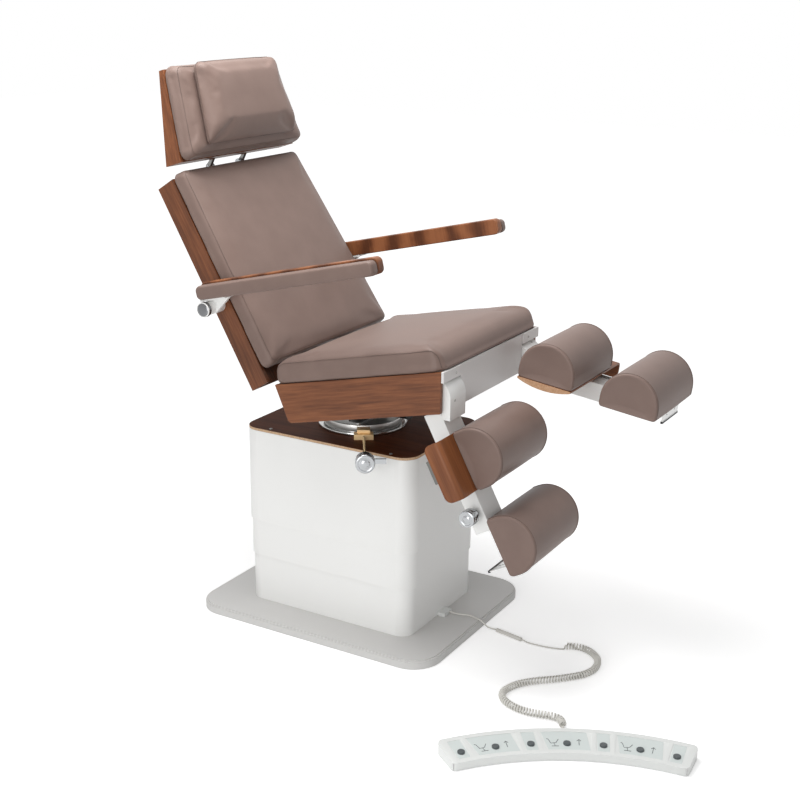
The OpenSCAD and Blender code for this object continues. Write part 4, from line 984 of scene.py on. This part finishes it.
class CHAIR_OT_knobs(bpy.types.Operator):
    """Makes the brake's knob, the leg rests' clamp knobs, the armrests' caps and the release tabs"""

    bl_idname = "chair.knobs"
    bl_label = "Knobs, caps and tabs"

    def execute(self, context):
        turn = spin("Y", 90)
        place = Matrix.Translation((0, 0, PIVOT["brake_screw"].z)) @ spin("Z", BRAKE_TURN) @ turn
        place = place @ at(0, 0, BRAKE_REACH - 26)
        turned_piece("brake_knob_turned", knob_profile(24.3), "brake", "chrome", place)
        dress("brake_knob", "chrome", 0.8)
        cap = [(19.3, -1), (19.6, 0.5), (19.6, 6), (18.6, 8.6), (16, 10.4), (11, 11.6), (5, 12.1), (1, 12.2)]
        for side in SIDES:
            leg, arm = MIRROR[side] @ LEG[side], MIRROR[side] @ ARM
            place = leg @ at(264, -292, -23) @ turn
            turned_piece("clamp_knob_turned_" + side, knob_profile(20.5), "leg_knob_" + side, "chrome", place)
            dress("clamp_knob_" + side, "chrome", 0.6)
            turned_piece("arm_cap_domed_" + side, cap, "arm_" + side, "cap", arm @ at(329, 0, 0) @ turn)
            name = "release_tab_" + side
            tab = rounded_block(name, (7, 58, 68), 2)
            add_piece(name, tab, "leg_" + side, "tab", leg @ at(300, -161, -21))
        return {"FINISHED"}


def add_screw(name, r, body, place):
    """A small pan head screw with a round recess."""
    head = [(r, 0), (r, r * 0.25), (r * 0.85, r * 0.5), (r * 0.5, r * 0.62), (r * 0.45, r * 0.3), (r * 0.05, r * 0.3)]
    add_piece(name, lathe(name, head, 24), body, "screw", place)


class CHAIR_OT_screws(bpy.types.Operator):
    """Puts in the small visible screws"""

    bl_idname = "chair.screws"
    bl_label = "Screws"

    def execute(self, context):
        for i, (x, y) in enumerate(((-174, 174), (-174, -191), (174, 174), (174, -191)), 1):
            add_screw("board_screw_%d" % i, 4, "column_upper", at(x, y, BOARD_TOP))
        for side in SIDES:
            place = MIRROR[side] @ SEAT @ at(0, -398, 68) @ spin("X", SEAT_TILT) @ at(196, -6.8, -14) @ STAND
            add_screw("cover_screw_" + side, 3.2, "seat", place)
            place = MIRROR[side] @ LEG[side] @ spin("X", -LEG_DROP) @ at(222, -45.2, -6) @ STAND
            add_screw("guard_screw_" + side, 3.2, "leg_" + side, place)
        return {"FINISHED"}


def polar(radius, degrees, z):
    a = math.radians(degrees)
    return CONTROL @ (Vector((radius * math.cos(a), radius * math.sin(a), z)) * MM)


# The foot control is a ring's sector: radii and depth in mm, and the degrees from button to button and for 1 mm
CONTROL_INNER, CONTROL_DEPTH = 612, 87
BUTTON_STEP = 7.18
BUTTON_RADIUS = CONTROL_INNER + 0.37 * CONTROL_DEPTH
PER_MM = 57.3 / BUTTON_RADIUS
PANEL_INNER, PANEL_OUTER = 624.8, 686.2
MARK_RADIUS, MARK_SHIFT = BUTTON_RADIUS + 6, 27


def control_top(radius):
    return 20 + 10 * (radius - CONTROL_INNER) / CONTROL_DEPTH


class CHAIR_OT_foot_control(bpy.types.Operator):
    """Finishes the foot control: housing, key panels, plain marks and buttons"""

    bl_idname = "chair.foot_control"
    bl_label = "Foot control"

    def execute(self, context):
        dress("pedal_housing", "abs", 1.2, 3)
        # A chair seen from its side and an arrow, in mm: across the panel from its outer edge, and along it
        chair = [(-12, 17), (-10, 13), (4, 9), (2, -3), (-9, -9)]
        foot = [(3, 2), (14, 0), (14, 8), (14, -8)]
        rising = [(-10, 0), (10, 0)]
        head = [(-5, -4.5), (-10.5, 0), (-5, 4.5)]
        for i in range(1, 8):
            middle = (i - 4) * BUTTON_STEP
            wide = i % 2 == 0
            half = BUTTON_STEP * 0.65 if wide else BUTTON_STEP / 5 - 0.12
            rings = []
            for inset, lift in ((0, -1.1), (0, -0.6), (0.5, -0.42), (3, -0.42)):
                turn = half - inset * PER_MM
                low, high = PANEL_INNER + inset, PANEL_OUTER - inset
                ring = [(low, -turn + 2 * turn * k / 12) for k in range(12)]
                ring += [(high, turn - 2 * turn * k / 12) for k in range(12)]
                rings.append([polar(r, middle + a, control_top(r) + lift) for r, a in ring])
            panel = new_mesh("key_panel", *loft(rings))
            add_piece("key_panel_%d" % i, panel, "root", "panel", smooth=False)
            dress("pedal_button_%d" % i, "button", 1.6, 3)
            if wide:
                runs = []
                for shape, way in ((chair, 1), (foot, 1), (rising, -1), (head, -1)):
                    line = [(MARK_RADIUS - x, y + way * MARK_SHIFT) for x, y in shape]
                    runs.append([polar(r, middle + y * PER_MM, control_top(r) - 0.35) for r, y in line])
                marks = tube_mesh("key_mark", runs, 0.7 * MM, 6)
                add_piece("key_mark_%d" % i, marks, "root", "mark")
        return {"FINISHED"}


def area_light(name, place, target, size, power):
    made = new_object(name, bpy.data.lights.new(name, "AREA"))
    made.data.shape = "RECTANGLE"
    made.data.size, made.data.size_y = size
    made.data.energy = power
    made.location = place
    made.rotation_euler = (Vector(target) - Vector(place)).to_track_quat("-Z", "Y").to_euler()


def ray_is(tree, *kinds):
    """1 for rays of any of these kinds."""
    path = add_node(tree, "LightPath")
    seen = path.outputs["Is %s Ray" % kinds[0]]
    for kind in kinds[1:]:
        seen = maths(tree, "MAXIMUM", seen, path.outputs["Is %s Ray" % kind])
    return seen


class CHAIR_OT_stage(bpy.types.Operator):
    """Makes the pale floor, the soft studio light and the white surroundings"""

    bl_idname = "chair.stage"
    bl_label = "Stage"

    def execute(self, context):
        reach = context.scene.chair_sizes.floor
        corners = [(x * reach, y * reach, -0.0005) for x, y in ((-1, -1), (1, -1), (1, 1), (-1, 1))]
        floor = new_object("floor", new_mesh("floor", corners, [(0, 1, 2, 3)]))
        # Matt studio paper: it keeps the chair's soft shadow, and glows a little more towards its far edge so that it
        # runs into the white surroundings
        made, tree, shader, place = new_material("matt white paper", "#f3f3f3", 0.9, Specular_IOR_Level=0.0)
        seen = ray_is(tree, "Camera", "Glossy")
        away = add_node(tree, "VectorMath", {0: place}, operation="LENGTH").outputs["Value"]
        level = add_node(tree, "MapRange", {"Value": away, "From Min": 1.2, "From Max": 3.6,
                                            "To Min": 0.42, "To Max": 0.75})
        glow = maths(tree, "MULTIPLY", seen, level.outputs["Result"])
        tree.links.new(glow, shader.inputs["Emission Strength"])
        shader.inputs["Emission Color"].default_value = (1, 1, 1, 1)
        floor.data.materials.append(made)
        world = bpy.data.worlds.new("white surroundings")
        world.use_nodes = True
        context.scene.world = world
        tree = world.node_tree
        seen = ray_is(tree, "Camera", "Glossy", "Transmission")
        level = add_node(tree, "MapRange", {"Value": seen, "To Min": 0.39, "To Max": 1.0})
        back = tree.nodes["Background"]
        back.inputs["Color"].default_value = (1, 1, 1, 1)
        tree.links.new(level.outputs["Result"], back.inputs["Strength"])
        area_light("overhead softbox", (-0.3, 0.15, 2.45), (-0.05, -0.1, 0.7), (1.3, 1.3), 43)
        area_light("side softbox", (-3.0, -0.5, 1.0), (0, -0.1, 0.5), (1.6, 1.6), 27)
        area_light("front fill", (-1.6, -3.8, 1.0), (0, -0.3, 0.4), (2.0, 2.0), 4)
        context.scene.view_settings.view_transform = "Standard"
        return {"FINISHED"}


class CHAIR_PT_panel(bpy.types.Panel):
    bl_label = "Podiatry chair"
    bl_idname = "CHAIR_PT_panel"
    bl_space_type = "VIEW_3D"
    bl_region_type = "UI"
    bl_category = "Chair"

    def draw(self, context):
        for group in (context.scene.chair_sizes, context.scene.chair_looks):
            for name in group.__annotations__:
                self.layout.prop(group, name)
        for operator in OPERATORS:
            self.layout.operator(operator.bl_idname)


OPERATORS = (CHAIR_OT_camera, CHAIR_OT_cord, CHAIR_OT_seat_cushion, CHAIR_OT_back_cushion,
             CHAIR_OT_head_cushions, CHAIR_OT_arm_pads, CHAIR_OT_leg_cushions, CHAIR_OT_wood, CHAIR_OT_column,
             CHAIR_OT_seat_metal, CHAIR_OT_knobs, CHAIR_OT_screws, CHAIR_OT_foot_control, CHAIR_OT_stage)
CLASSES = (ChairSizes, ChairLooks) + OPERATORS + (CHAIR_PT_panel,)


def register():
    for made in CLASSES:
        bpy.utils.register_class(made)
    bpy.types.Scene.chair_sizes = PointerProperty(type=ChairSizes)
    bpy.types.Scene.chair_looks = PointerProperty(type=ChairLooks)


def unregister():
    del bpy.types.Scene.chair_looks
    del bpy.types.Scene.chair_sizes
    for made in reversed(CLASSES):
        bpy.utils.unregister_class(made)


def main():
    register()
    make_materials(bpy.context.scene.chair_looks)
    for operator in OPERATORS:
        getattr(bpy.ops.chair, operator.bl_idname.split(".")[1])()


if __name__ == "__main__":
    main()
